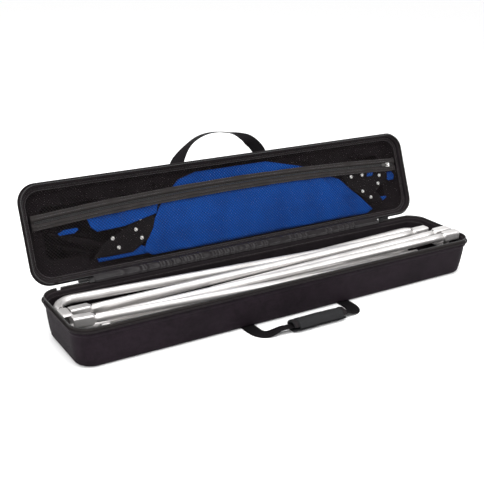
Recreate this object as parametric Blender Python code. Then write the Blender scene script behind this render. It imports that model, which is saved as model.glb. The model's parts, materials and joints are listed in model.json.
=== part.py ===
"""Long zip-up carry case with a mesh lid pocket, two webbing handles and its packed tube frame.

Frame: +X along the case, +Y towards the hinge, +Z up, origin at the centre of the base's underside.
The lid and what rides on it are modelled closed, in the case's own frame, and hang on an empty
that turns them about the hinge line to the open rest pose. All sizes are in metres.
"""

import math

import bmesh
import bpy
from mathutils import Matrix, Vector

# ---- Driving dimensions -------------------------------------------------------------------
CASE_LENGTH = 1.220
CASE_WIDTH = 0.256
BASE_DEPTH = 0.098
LID_DEPTH = 0.050
LID_OPEN_DEG = 112.0
HALF_ZIP = 0.011          # from either rim to the plane where the two rows of teeth meet
HINGE_HALF = 0.455        # half of the fabric hinge's length along the back
HINGE_OUT = 0.001         # the hinge fold lies this far behind the case's back edge
PLAN_RADIUS = 0.048       # corner radius of the rim, seen from above
FIT = 0.0003              # gap between pieces that touch

# Wall section: how far each level lies inside the case's outermost edge
WALL = 0.005
RIM_INSET = 0.005
WALL_TOP_INSET = 0.0075
WALL_FOOT_INSET = 0.016
BASE_FILLET = 0.012
LID_FILLET = 0.017
LINING = 0.0012

PIPING_RADIUS = 0.0022
TAPE_INSET = 0.0056
TAPE_THICKNESS = 0.0011
TEETH_RADIUS = 0.0013
TEETH_GAP = 0.0012        # from a row of teeth to the closing plane, the slider's neck goes between
ZIP_START = 0.030         # the zip starts this far past each end of the fabric hinge

# Lid pocket: the mesh lies this far inside the lid's rim, and its zip bows up in the middle
MESH_DEPTH = 0.011
MESH_THICKNESS = 0.0010
MESH_INSET = 0.021
POCKET_V = 0.158          # height of the pocket zip's ends, from the hinge side of the lid
POCKET_BOW = 0.020
POCKET_HALF = 0.575
POCKET_BAND = 0.019       # half of the band: tape and binding on one side of the zip
POCKET_SLIDER_X = 0.553

# Handles
STRAP_WIDTH = 0.038
STRAP_THICKNESS = 0.0022
TAIL_LENGTH = 0.060
HANDLE_LEAD = 0.004       # straight webbing between the sewn ends and the arch
LID_HANDLE_X = -0.014     # middle of the handle
LID_ANCHOR_X = 0.140      # from the handle's middle to the middle of each sewn end
LID_WRAP_DEG = 35.0       # how far the sewn ends wrap over the lid's rounded edge
LID_HANDLE_GAP = 0.0018   # from the joint line to the free webbing, room for it to turn
LID_HANDLE_REACH = 0.097
BASE_HANDLE_X = 0.000
BASE_ANCHOR_X = 0.150
BASE_ANCHOR_Y = -0.112
BASE_HANDLE_GAP = 0.0009
BASE_HANDLE_REACH = 0.064
GRIP_X = 0.011            # the grip sits a little to the right on its strap
GRIP_LENGTH = 0.160
GRIP_HEIGHT = 0.0144
GRIP_STRAP_WIDTH = 0.023
GRIP_INNER_Y = 0.0150     # half axes of the space inside the grip
GRIP_INNER_Z = 0.0095
GRIP_PAD = 0.0045

# Packed frame: round aluminium tubes with formed square sockets
TUBE_RADIUS = 0.0111
TUBE_WALL = 0.0015
SOCKET_HALF = 0.0130
SOCKET_LENGTH = 0.056
BEND_RADIUS = 0.048

HALF_LENGTH = CASE_LENGTH / 2
HALF_WIDTH = CASE_WIDTH / 2
RIM_Z = BASE_DEPTH
LID_RIM_Z = BASE_DEPTH + 2 * HALF_ZIP
LID_TOP_Z = LID_RIM_Z + LID_DEPTH
HINGE_LINE = Vector((0.0, HALF_WIDTH + HINGE_OUT, BASE_DEPTH + HALF_ZIP))
MESH_Z = LID_RIM_Z + MESH_DEPTH
FLOOR_Z = WALL + FIT + LINING


# ---- Materials ----------------------------------------------------------------------------
def material(name, color, roughness, metallic=0.0):
    made = bpy.data.materials.new(name)
    made.use_nodes = True
    shader = made.node_tree.nodes["Principled BSDF"]
    shader.inputs["Base Color"].default_value = (*color, 1.0)
    shader.inputs["Roughness"].default_value = roughness
    shader.inputs["Metallic"].default_value = metallic
    made.diffuse_color = (*color, 1.0)
    return made


def clear_scene():
    for obj in list(bpy.data.objects):
        bpy.data.objects.remove(obj, do_unlink=True)


# ---- Mesh helpers -------------------------------------------------------------------------
def add_object(name, points, faces, mat, parent=None):
    mesh = bpy.data.meshes.new(name)
    mesh.from_pydata([tuple(p) for p in points], [], faces)
    work = bmesh.new()
    work.from_mesh(mesh)
    bmesh.ops.recalc_face_normals(work, faces=work.faces)
    work.to_mesh(mesh)
    work.free()
    mesh.materials.append(mat)
    mesh.shade_smooth()
    mesh.set_sharp_from_angle(angle=math.radians(35))
    obj = bpy.data.objects.new(name, mesh)
    bpy.context.scene.collection.objects.link(obj)
    obj.parent = parent
    return obj


def loft(name, rings, mat, parent=None, around=True, capped=True):
    """Skins a list of equally long rings. around closes each ring, and an uncapped loft joins
    its last ring to its first."""
    count = len(rings[0])
    points = [p for ring in rings for p in ring]
    faces = []
    spans = len(rings) - 1 if capped else len(rings)
    for i in range(spans):
        a = i * count
        b = ((i + 1) % len(rings)) * count
        for j in range(count if around else count - 1):
            k = (j + 1) % count
            faces.append((a + j, a + k, b + k, b + j))
    if capped and around:
        faces.append(tuple(reversed(range(count))))
        last = (len(rings) - 1) * count
        faces.append(tuple(range(last, last + count)))
    if not around:
        first_side = [i * count for i in range(len(rings))]
        last_side = [i * count + count - 1 for i in range(len(rings))]
        faces.append(tuple(first_side))
        faces.append(tuple(reversed(last_side)))
    return add_object(name, points, faces, mat, parent)


def rim_path(inset, z, segments=6, back_x=HINGE_HALF, closed=True):
    """The case's rounded outline, moved in by inset, from the back left round the front to the
    back right. Open, it starts and ends at back_x on the back edge."""
    radius = PLAN_RADIUS - 0.45 * inset
    half_x = HALF_LENGTH - inset
    half_y = HALF_WIDTH - inset
    points = [] if closed else [Vector((-back_x, half_y, z))]
    for sign_x, sign_y, start in ((-1, 1, 90), (-1, -1, 180), (1, -1, 270), (1, 1, 0)):
        centre = Vector((sign_x * (half_x - radius), sign_y * (half_y - radius), z))
        for i in range(segments + 1):
            angle = math.radians(start + 90 * i / segments)
            points.append(centre + Vector((math.cos(angle), math.sin(angle), 0)) * radius)
    if not closed:
        points.append(Vector((back_x, half_y, z)))
    return points


def arc(centre, radius, start, end, steps):
    """(x, y) points along an arc, angles in degrees."""
    angles = [math.radians(start + (end - start) * i / steps) for i in range(steps + 1)]
    return [(centre[0] + radius * math.cos(a), centre[1] + radius * math.sin(a)) for a in angles]


def plate(name, outline, z_low, z_high, mat, parent=None):
    """A flat plate: a counter-clockwise outline in x and y between two heights."""
    rings = [[Vector((x, y, z)) for x, y in outline] for z in (z_low, z_high)]
    return loft(name, rings, mat, parent)


def prism(name, section, x_low, x_high, mat, parent=None):
    """A straight bar along X: a section in y and z, counter-clockwise seen from +X."""
    rings = [[Vector((x, y, z)) for y, z in section] for x in (x_low, x_high)]
    return loft(name, rings, mat, parent)


def frame_along(points):
    """For each point of a path, its tangent."""
    tangents = []
    for i in range(len(points)):
        before = points[max(i - 1, 0)]
        after = points[min(i + 1, len(points) - 1)]
        tangents.append((after - before).normalized())
    return tangents


def ribbon(name, path, sides, widths, thickness, mat, parent=None):
    """Webbing along a path. At each point, sides gives the direction across it and widths its
    width there."""
    rings = []
    for point, tangent, side, width in zip(path, frame_along(path), sides, widths):
        across = (side - tangent * side.dot(tangent)).normalized()
        normal = tangent.cross(across).normalized()
        corners = ((1, 1), (-1, 1), (-1, -1), (1, -1))
        rings.append([point + across * (a * width / 2) + normal * (b * thickness / 2)
                      for a, b in corners])
    return loft(name, rings, mat, parent)


def hollow_tube(name, path, radius, wall, sides, mat, parent=None):
    """A pipe that is open at both ends, along a path in a plane parallel to the floor or nearly."""
    rings_out = []
    rings_in = []
    for point, tangent in zip(path, frame_along(path)):
        up = Vector((0, 0, 1))
        up = (up - tangent * up.dot(tangent)).normalized()
        across = tangent.cross(up)
        for rings, r in ((rings_out, radius), (rings_in, radius - wall)):
            angles = [2 * math.pi * i / sides for i in range(sides)]
            rings.append([point + (across * math.cos(a) + up * math.sin(a)) * r for a in angles])
    return loft(name, rings_out + rings_in[::-1], mat, parent, capped=False)


# ---- Shells, linings and rims -------------------------------------------------------------
def shell_profile(depth, fillet):
    """Outer wall from the flat face to the rim, as (inset, height over the flat face)."""
    foot = arc((WALL_FOOT_INSET + fillet, fillet), fillet, 270, 180, 4)
    rim = [
        (WALL_TOP_INSET, depth - 0.018),
        (RIM_INSET - 0.0002, depth - 0.012),
        (RIM_INSET - 0.0008, depth - 0.0075),
        (RIM_INSET, depth - 0.0042),
        (RIM_INSET, depth),
    ]
    return foot + rim


def cavity_profile(depth, fillet, offset):
    """Inner wall from the rim down to the floor, moved in by offset from the shell's inner face."""
    inner = fillet - WALL
    foot_inset = WALL_FOOT_INSET + WALL - 0.0005
    foot = arc((foot_inset + inner, WALL + inner), inner - offset, 180, 270, 4)
    return [(RIM_INSET + WALL + offset, depth), (RIM_INSET + WALL + 0.0018 + offset, depth - 0.020)] + foot


def to_rings(profile, face_z, direction):
    """Rim outlines at each level of a profile that starts at face_z and grows along direction."""
    return [rim_path(inset, face_z + direction * h) for inset, h in profile]


def make_tray(name, outer, inner, face_z, direction, mat, parent=None):
    return loft(name, to_rings(outer + inner, face_z, direction), mat, parent)


def make_shell(prefix, depth, fillet, face_z, direction, mats, parent=None):
    """One half of the case: the moulded shell and the lining that is glued inside it."""
    outer = shell_profile(depth, fillet)
    inner = cavity_profile(depth, fillet, 0.0)
    shell = make_tray(prefix + "_shell", outer, inner, face_z, direction, mats["shell"], parent)
    back_face = list(reversed(cavity_profile(depth, fillet, FIT)))
    front_face = cavity_profile(depth, fillet, FIT + LINING)
    make_tray(prefix + "_lining", back_face, front_face, face_z, direction, mats["lining"], parent)
    return shell


def closed_ring(name, section, mat, parent=None, segments=6):
    """A ring that follows the rim: section is a counter-clockwise loop of (outward, z)."""
    rings = [rim_path(-outward, z, segments) for outward, z in section]
    return loft(name, rings, mat, parent, capped=False)


def open_strip(name, section, back_x, mat, parent=None, segments=6):
    """A strip that follows the rim round the front, from back_x on one side to the other."""
    paths = [rim_path(-outward, z, segments, back_x, closed=False) for outward, z in section]
    rings = [[path[i] for path in paths] for i in range(len(paths[0]))]
    return loft(name, rings, mat, parent)


def make_rim(prefix, rim_z, direction, mats, parent=None):
    """Piping round the whole rim, and the zip's tape and teeth round the front and sides."""
    centre_z = rim_z - direction * 0.0017
    piping = arc((-PIPING_RADIUS - FIT, centre_z), PIPING_RADIUS, 0, 315, 7)
    closed_ring(prefix + "_rim_piping", piping, mats["binding"], parent)
    teeth_top = HALF_ZIP - TEETH_GAP
    teeth_z = rim_z + direction * (teeth_top - TEETH_RADIUS)
    tape_end = rim_z + direction * (teeth_top - 2 * TEETH_RADIUS - FIT)
    tape_low, tape_high = sorted((rim_z + direction * FIT, tape_end))
    tape = [
        (-TAPE_INSET, tape_low),
        (-TAPE_INSET, tape_high),
        (-TAPE_INSET - TAPE_THICKNESS, tape_high),
        (-TAPE_INSET - TAPE_THICKNESS, tape_low),
    ]
    start = HINGE_HALF + ZIP_START
    open_strip(prefix + "_zipper_tape", tape, start, mats["tape"], parent)
    middle = -TAPE_INSET - TAPE_THICKNESS / 2
    teeth = arc((middle, teeth_z), TEETH_RADIUS, 300, 0, 5)
    open_strip(prefix + "_zipper_teeth", teeth, start, mats["teeth"], parent)


def make_hinge(mats, lid):
    """The fabric hinge: a leaf on each rim, which meet at a corded welt on the fold line."""
    fold_y, fold_z = HINGE_LINE.y, HINGE_LINE.z
    welt = 0.0011
    root_out = HALF_WIDTH - TAPE_INSET
    root_in = root_out - TAPE_THICKNESS
    stop = welt + FIT
    base_leaf = [
        (root_in, RIM_Z + FIT),
        (root_out, RIM_Z + FIT),
        (fold_y + 0.0002, fold_z - stop - 0.0004),
        (fold_y - 0.0012, fold_z - stop + 0.0003),
    ]
    prism("hinge_leaf_base", base_leaf, -HINGE_HALF, HINGE_HALF, mats["binding"])
    lid_leaf = [(y, 2 * fold_z - z) for y, z in reversed(base_leaf)]
    prism("hinge_leaf_lid", lid_leaf, -HINGE_HALF, HINGE_HALF, mats["binding"], lid)
    cord = arc((fold_y, fold_z), welt, 0, 315, 7)
    prism("hinge_welt", cord, -HINGE_HALF, HINGE_HALF, mats["binding"])


def make_zip_ends(mats):
    """A stitched fabric tab that closes off each end of the zip, beside the fabric hinge."""
    for side, sign in (("left", -1), ("right", 1)):
        y_out = HALF_WIDTH - TAPE_INSET
        section = [
            (y_out - TAPE_THICKNESS, RIM_Z + FIT),
            (y_out, RIM_Z + FIT),
            (y_out, RIM_Z + 0.0050),
            (y_out - TAPE_THICKNESS, RIM_Z + 0.0050),
        ]
        near = sign * (HINGE_HALF + FIT)
        far = sign * (HINGE_HALF + ZIP_START - FIT)
        low, high = sorted((near, far))
        prism("zipper_end_" + side, section, low, high, mats["binding"])


# ---- Lid pocket ---------------------------------------------------------------------------
POCKET_RADIUS = (POCKET_HALF ** 2 + POCKET_BOW ** 2) / (2 * POCKET_BOW)


def pocket_v(x):
    """Height of the bowed pocket zip over the lid's hinge edge, at x."""
    return POCKET_V + POCKET_BOW - POCKET_RADIUS + math.sqrt(POCKET_RADIUS ** 2 - x ** 2)


def along_x(half, steps):
    return [-half + 2 * half * i / steps for i in range(steps + 1)]


def bowed_band(name, low, high, half, z_low, z_high, mat, parent, steps=12):
    """A strip of the pocket between two offsets from the zip's bowed line."""
    xs = along_x(half, steps)
    outline = [(x, HALF_WIDTH - pocket_v(x) - high) for x in xs]
    outline += [(x, HALF_WIDTH - pocket_v(x) - low) for x in reversed(xs)]
    return plate(name, outline, z_low, z_high, mat, parent)


def make_mesh_panel(name, upper, mat, parent):
    """Net between the pocket zip and the binding, on the upper or the lower side of the zip."""
    xs = along_x(HALF_LENGTH - MESH_INSET - 0.004, 12)
    edge = POCKET_BAND + FIT
    corner = PLAN_RADIUS - 0.45 * MESH_INSET
    half_x = HALF_LENGTH - MESH_INSET
    if upper:
        outline = [(x, HALF_WIDTH - pocket_v(x) - edge) for x in reversed(xs)]
        y_low = -HALF_WIDTH + MESH_INSET
        left = arc((-half_x + corner, y_low + corner), corner, 180, 270, 6)
        right = arc((half_x - corner, y_low + corner), corner, 270, 360, 6)
        outline += left + right
    else:
        outline = [(x, HALF_WIDTH - pocket_v(x) + edge) for x in xs]
        y_high = HALF_WIDTH - MESH_INSET
        right = arc((half_x - corner, y_high - corner), corner, 0, 90, 6)
        left = arc((-half_x + corner, y_high - corner), corner, 90, 180, 6)
        outline += right + left
    plate(name, outline, MESH_Z, MESH_Z + MESH_THICKNESS, mat, parent)


def make_pocket(mats, lid):
    make_mesh_panel("mesh_panel_upper", True, mats["mesh"], lid)
    make_mesh_panel("mesh_panel_lower", False, mats["mesh"], lid)
    ring_outer = -(RIM_INSET + WALL + 0.0010 + 2 * FIT + LINING)
    ring_inner = -(MESH_INSET - FIT)
    ring = [
        (ring_outer, MESH_Z),
        (ring_outer, MESH_Z + 0.0016),
        (ring_inner, MESH_Z + 0.0016),
        (ring_inner, MESH_Z),
    ]
    closed_ring("mesh_binding", ring, mats["binding"], lid)
    near = TEETH_GAP + 2 * TEETH_RADIUS + FIT
    half = POCKET_HALF + 0.008
    mid = MESH_Z + MESH_THICKNESS / 2
    for side, sign in (("upper", 1), ("lower", -1)):
        low, high = sorted((sign * near, sign * POCKET_BAND))
        bowed_band("pocket_tape_" + side, low, high, half, MESH_Z, MESH_Z + MESH_THICKNESS,
                   mats["tape"], lid)
        row = sign * (TEETH_GAP + TEETH_RADIUS)
        path = [Vector((x, HALF_WIDTH - pocket_v(x) - row, mid)) for x in along_x(POCKET_HALF, 12)]
        rings = [[p + Vector((0, c, s)) for c, s in arc((0, 0), TEETH_RADIUS, 0, 300, 5)]
                 for p in path]
        loft("pocket_teeth_" + side, rings, mats["teeth"], lid)


# ---- Zip sliders --------------------------------------------------------------------------
SLIDER_LENGTH = 0.013
SLIDER_HALF_HEIGHT = 0.0055
SLIDER_PLATE = 0.0013
SLIDER_GAP = 0.0019
NECK_HALF = 0.0005
BAIL_REACH = 0.0042       # height of the bail's bar over the slider's outer plate
BAIL_WIRE = 0.0007
BAIL_HALF = 0.0040
PULL_LIFT = 0.0019        # height of the pull's hinge bar over the slider's outer plate
PULL_HALF_THICKNESS = 0.0007


def slider_section():
    """H section in (out, up): an outer and an inner plate, and the neck between the teeth."""
    a, b = SLIDER_GAP, SLIDER_GAP + SLIDER_PLATE
    h, n = SLIDER_HALF_HEIGHT, NECK_HALF
    return [(b, -h), (b, h), (a, h), (a, n), (-a, n), (-a, h),
            (-b, h), (-b, -h), (-a, -h), (-a, -n), (a, -n), (a, -h)]


def make_slider(name, centre, out, up, mat, parent=None):
    """A slider whose plates face along out. A wire bail arches over its outer plate along the
    zip, and the pull's hinge bar lies under the arch."""
    along = up.cross(out).normalized()
    body_rings = [[centre + along * s + out * o + up * u for o, u in slider_section()]
                  for s in (-SLIDER_LENGTH / 2, SLIDER_LENGTH / 2)]
    body = loft(name, body_rings, mat, parent)
    face = SLIDER_GAP + SLIDER_PLATE
    steps = [(-BAIL_HALF, face - 0.0005), (-BAIL_HALF, face + BAIL_REACH - 0.001),
             (-BAIL_HALF + 0.001, face + BAIL_REACH), (BAIL_HALF - 0.001, face + BAIL_REACH),
             (BAIL_HALF, face + BAIL_REACH - 0.001), (BAIL_HALF, face - 0.0005)]
    path = [centre + along * s + out * o for s, o in steps]
    rings = []
    for point, tangent in zip(path, frame_along(path)):
        side = tangent.cross(up).normalized()
        rings.append([point + (side * c + up * s)
                      for c, s in arc((0, 0), BAIL_WIRE, 0, 300, 5)])
    bail = loft(name + "_bail_cutter", rings, mat, parent)
    bail.hide_render = True
    bail.display_type = "WIRE"
    union = body.modifiers.new("bail", "BOOLEAN")
    union.operation = "UNION"
    union.solver = "EXACT"
    union.object = bail
    return body


def make_pull(name, centre, out, lay, length, width, mat, parent=None):
    """A flat pull that lies along the zip. The bar at its near end passes under the slider's
    bail, and the bail's leg stands in its window. centre is the slider's."""
    up = lay.cross(out).normalized()
    bar = centre + out * (SLIDER_GAP + SLIDER_PLATE + PULL_LIFT)
    half = width / 2
    window_half = 0.0022
    window_end = 0.0062
    near = PULL_HALF_THICKNESS
    outer = [(-near, -half), (length - 0.002, -half), (length, -half + 0.002),
             (length, half - 0.002), (length - 0.002, half), (-near, half)]
    hole = [(near, -window_half), (window_end - 0.001, -window_half),
            (window_end, -window_half + 0.001), (window_end, window_half - 0.001),
            (window_end - 0.001, window_half), (near, window_half)]

    def level(points, side):
        lift = out * (side * PULL_HALF_THICKNESS)
        return [bar + lay * s + up * u + lift for s, u in points]

    rings = [level(outer, 1), level(outer, -1), level(hole, -1), level(hole, 1)]
    return loft(name, rings, mat, parent, capped=False)


def make_sliders(mats, lid):
    y = HALF_WIDTH - TAPE_INSET - TAPE_THICKNESS / 2
    for side, sign in (("left", -1), ("right", 1)):
        centre = Vector((sign * (HINGE_HALF + 0.012), y, RIM_Z + HALF_ZIP))
        out, up = Vector((0, 1, 0)), Vector((0, 0, 1))
        make_slider("main_slider_" + side, centre, out, up, mats["metal"])
        lay = Vector((sign, 0, 0))
        make_pull("main_pull_" + side, centre, out, lay, 0.034, 0.0090, mats["metal"])
    centre = Vector((POCKET_SLIDER_X, HALF_WIDTH - pocket_v(POCKET_SLIDER_X),
                     MESH_Z + MESH_THICKNESS / 2))
    slope = POCKET_SLIDER_X / math.sqrt(POCKET_RADIUS ** 2 - POCKET_SLIDER_X ** 2)
    lay = Vector((-1, -slope, 0)).normalized()
    out = Vector((0, 0, -1))
    up = out.cross(lay).normalized()
    make_slider("pocket_slider", centre, out, up, mats["bright_metal"], lid)
    make_pull("pocket_pull", centre, out, lay, 0.026, 0.0090, mats["bright_metal"], lid)


# ---- Handles ------------------------------------------------------------------------------
def smooth_step(t):
    t = min(max(t, 0.0), 1.0)
    return t * t * (3 - 2 * t)


def make_tail(name, x, y_low, y_high, z_low, mat, parent=None):
    """One sewn end of a handle: a flat patch of webbing on a shell's outer face."""
    half = STRAP_WIDTH / 2
    outline = [(x - half, y_low), (x + half, y_low), (x + half, y_high), (x - half, y_high)]
    return plate(name, outline, z_low, z_low + STRAP_THICKNESS, mat, parent)


def arch_stations(steps):
    """Stations along a handle's arch as (t, lead): t runs from 0 to 1 and lead is 0 only where
    the webbing leaves its sewn ends, so that it starts square to the case."""
    return [(0.0, 0)] + [(i / steps, 1) for i in range(steps + 1)] + [(1.0, 0)]


def make_lid_handle(mats, lid):
    """A plain webbing loop that stands out in the plane of the lid's outer face. Its sewn ends
    wrap over the lid's rounded edge, and its arch turns on edge towards the middle."""
    wrap_radius = LID_FILLET + FIT + STRAP_THICKNESS / 2
    edge_y = -HALF_WIDTH + WALL_FOOT_INSET + LID_FILLET
    centre_z = LID_TOP_Z - LID_FILLET
    normal = Vector((0, 0, 1))
    for side, sign in (("left", -1), ("right", 1)):
        x = LID_HANDLE_X + sign * LID_ANCHOR_X
        line = [(edge_y + TAIL_LENGTH - 0.010, centre_z + wrap_radius)]
        line += arc((edge_y, centre_z), wrap_radius, 90, 90 + LID_WRAP_DEG, 4)
        tail = [Vector((x, y, z)) for y, z in line]
        ribbon("lid_handle_tail_" + side, tail, [Vector((1, 0, 0))] * len(tail),
               [STRAP_WIDTH] * len(tail), STRAP_THICKNESS, mats["webbing"], lid)
    wrap = math.radians(LID_WRAP_DEG)
    start_y = edge_y - wrap_radius * math.sin(wrap)
    start_z = centre_z + wrap_radius * math.cos(wrap)
    print("lid handle joint", start_y, start_z)
    stations = arch_stations(22)
    path, across, widths = [], [], []
    for t, lead in stations:
        c = math.cos(math.pi * t)
        x = LID_HANDLE_X - LID_ANCHOR_X * c * abs(c) ** 0.25
        out = HANDLE_LEAD * lead + LID_HANDLE_REACH * max(math.sin(math.pi * t), 0.0) ** 0.85
        path.append(Vector((x, start_y - LID_HANDLE_GAP - out, start_z)))
    for (t, lead), tangent in zip(stations, frame_along(path)):
        edge = min(t, 1 - t)
        turn = smooth_step(edge / 0.36) * math.radians(75)
        flat = tangent.cross(normal).normalized()
        across.append(flat * math.cos(turn) + normal * math.sin(turn))
        widths.append(STRAP_WIDTH * (1 - 0.22 * smooth_step(edge / 0.3)))
    ribbon("lid_handle_strap", path, across, widths, STRAP_THICKNESS, mats["webbing"], lid)


def make_base_handle(mats):
    """A webbing loop that lies on the floor in front of the case, with its padded grip wrap. Its
    sewn ends lie in shallow recesses, flush with the underside."""
    for side, sign in (("left", -1), ("right", 1)):
        x = BASE_HANDLE_X + sign * BASE_ANCHOR_X
        make_tail("base_handle_tail_" + side, x, BASE_ANCHOR_Y, BASE_ANCHOR_Y + TAIL_LENGTH + 0.015,
                  0.0, mats["webbing"])
    low = STRAP_THICKNESS / 2
    start_y = BASE_ANCHOR_Y - BASE_HANDLE_GAP
    path, across, widths = [], [], []
    for t, lead in arch_stations(22):
        c, rise = math.cos(math.pi * t), max(math.sin(math.pi * t), 0.0)
        x = BASE_HANDLE_X - BASE_ANCHOR_X * math.copysign(abs(c) ** 0.5, c)
        out = HANDLE_LEAD * lead + BASE_HANDLE_REACH * rise ** 0.5
        inward = smooth_step((BASE_ANCHOR_X - 0.012 - abs(x - BASE_HANDLE_X)) / 0.045)
        path.append(Vector((x, start_y - out, low + (GRIP_HEIGHT - low) * inward)))
        widths.append(STRAP_WIDTH + (GRIP_STRAP_WIDTH - STRAP_WIDTH) * inward)
    for tangent in frame_along(path):
        across.append(tangent.cross(Vector((0, 0, 1))))
    ribbon("base_handle_strap", path, across, widths, STRAP_THICKNESS, mats["webbing"])
    centre = (start_y - HANDLE_LEAD - BASE_HANDLE_REACH, GRIP_HEIGHT)
    make_grip(mats, centre)


def grip_arc(centre, grow, start, end, steps):
    """Part of the grip's oval, moved out by grow from its inner face."""
    angles = [math.radians(start + (end - start) * i / steps) for i in range(steps + 1)]
    return [(centre[0] + (GRIP_INNER_Y + grow) * math.cos(a),
             centre[1] + (GRIP_INNER_Z + grow) * math.sin(a)) for a in angles]


def make_grip(mats, centre):
    """A padded wrap round the webbing, open along its front, and the flap that closes over it."""
    low = GRIP_X - GRIP_LENGTH / 2
    high = GRIP_X + GRIP_LENGTH / 2
    wrap = grip_arc(centre, GRIP_PAD, -150, 170, 18) + grip_arc(centre, 0, 170, -150, 18)
    prism("grip_wrap", wrap, low, high, mats["grip"])
    start = GRIP_PAD + FIT
    flap = grip_arc(centre, start + 0.0018, 80, 186, 7) + grip_arc(centre, start, 186, 80, 7)
    prism("grip_flap", flap, low + 0.004, high - 0.004, mats["grip"])


# ---- Packed contents ----------------------------------------------------------------------
def make_socket(name, mouth_from, direction, mat):
    """A square socket formed on a tube's end. mouth_from is the tube's end, and direction points
    from the tube to the socket's open mouth."""
    up = Vector((0, 0, 1))
    up = (up - direction * up.dot(direction)).normalized()
    across = direction.cross(up)
    count = 16

    def ring(distance, half, round_shape):
        points = []
        for i in range(count):
            a = 2 * math.pi * (i + 0.5) / count
            c, s = math.cos(a), math.sin(a)
            reach = half if round_shape else half / max(abs(c), abs(s))
            points.append(mouth_from + direction * distance + (across * c + up * s) * reach)
        return points

    spigot = (TUBE_RADIUS - TUBE_WALL) * 0.96 - FIT
    wall = 0.002
    rings = [
        ring(-0.006, spigot, True),
        ring(FIT, spigot, True),
        ring(FIT, TUBE_RADIUS, True),
        ring(0.010, SOCKET_HALF, False),
        ring(SOCKET_LENGTH, SOCKET_HALF, False),
        ring(SOCKET_LENGTH, SOCKET_HALF - wall, False),
        ring(0.014, SOCKET_HALF - wall, False),
    ]
    return loft(name, rings, mat)


def bow_path(long_start, corner, turn_y, end_y, sign):
    """A tube's line along the case and round one right-angle bend towards the front. sign is the
    end of the case that the bend is at."""
    leg = (corner - long_start).normalized()
    centre = Vector((corner.x, corner.y - BEND_RADIUS, corner.z))
    points = [long_start, corner]
    for i in range(1, 8):
        a = math.radians(90 * i / 8)
        points.append(centre + Vector((sign * math.sin(a), math.cos(a), 0)) * BEND_RADIUS)
    points.append(Vector((corner.x + sign * BEND_RADIUS, turn_y, corner.z)))
    points.append(Vector((corner.x + sign * BEND_RADIUS, end_y, corner.z)))
    return points, leg


def make_contents(mats):
    """The packed frame: two bows with a bend, four socketed rails, and plain rails underneath."""
    metal = mats["aluminium"]

    def tube(name, path):
        hollow_tube(name, path, TUBE_RADIUS, TUBE_WALL, 12, metal)

    # Left bow: its leg lies along the back, its bend is at the left and its socket at the front.
    left_corner = Vector((-0.535, 0.089, 0.085))
    path, _ = bow_path(Vector((0.430, 0.0506, 0.072)), left_corner,
                       left_corner.y - BEND_RADIUS, 0.033, -1)
    tube("bow_left", path)
    make_socket("bow_left_socket_front", path[-1], Vector((0, -1, 0)), metal)
    make_socket("bow_left_socket_end", path[0], (path[0] - path[1]).normalized(), metal)

    # Right bow: it lies lower, and its bend is at the right.
    right_corner = Vector((0.532, 0.098, 0.0665))
    path, _ = bow_path(Vector((-0.500, 0.0690, 0.0500)), right_corner,
                       right_corner.y - BEND_RADIUS, 0.010, 1)
    tube("bow_right", path)
    make_socket("bow_right_socket_front", path[-1], Vector((0, -1, 0)), metal)

    rails = (
        ("rail_inner", Vector((-0.508, 0.0246, 0.0800)), Vector((0.497, 0.0166, 0.0940)), "both"),
        ("rail_front", Vector((-0.526, -0.0412, 0.0870)), Vector((0.200, -0.0773, 0.0700)), "left"),
        ("rail_near", Vector((-0.480, -0.0103, 0.0700)), Vector((0.536, -0.0671, 0.1030)), "right"),
        ("rail_far", Vector((-0.190, 0.0058, 0.0640)), Vector((0.536, -0.0290, 0.1000)), "right"),
    )
    for name, left, right, sockets in rails:
        tube(name, [left, right])
        line = (right - left).normalized()
        if sockets in ("left", "both"):
            make_socket(name + "_socket_left", left, -line, metal)
        if sockets in ("right", "both"):
            make_socket(name + "_socket_right", right, line, metal)

    first_z = FLOOR_Z + FIT + TUBE_RADIUS
    spacing = 2 * TUBE_RADIUS + FIT
    for i, y in enumerate((-0.072, -0.030, 0.012, 0.054)):
        tube(f"rail_bottom_{i + 1}", [Vector((-0.52, y, first_z)), Vector((0.52, y, first_z))])
    for i, y in enumerate((-0.060, -0.010)):
        z = first_z + spacing
        tube(f"rail_middle_{i + 1}", [Vector((-0.50, y, z)), Vector((0.50, y, z))])


def make_panel(mats, lid):
    """The folded fabric panel in the lid pocket, and the two webbing tabs with snaps on its ends."""
    outline_v = [
        (-0.330, 0.040), (-0.240, 0.026), (0.430, 0.026), (0.474, 0.032), (0.411, 0.107),
        (0.330, 0.158), (0.237, 0.200), (0.194, 0.215), (0.026, 0.228), (-0.141, 0.220),
        (-0.200, 0.190), (-0.236, 0.150), (-0.285, 0.090),
    ]
    outline = [(x, HALF_WIDTH - v) for x, v in outline_v]
    low = MESH_Z + MESH_THICKNESS + 0.003
    plate("fabric_panel", outline, low, low + 0.014, mats["blue"], lid)
    left = [(-0.470, 0.050), (-0.350, 0.045), (-0.315, 0.085), (-0.255, 0.148), (-0.310, 0.162),
            (-0.420, 0.130)]
    right = [(0.500, 0.030), (0.530, 0.090), (0.560, 0.140), (0.380, 0.148), (0.430, 0.105)]
    for name, tab in (("fabric_tab_left", left), ("fabric_tab_right", right)):
        points = [(x, HALF_WIDTH - v) for x, v in tab]
        plate(name, points, low + 0.002, low + 0.006, mats["webbing"], lid)


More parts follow.
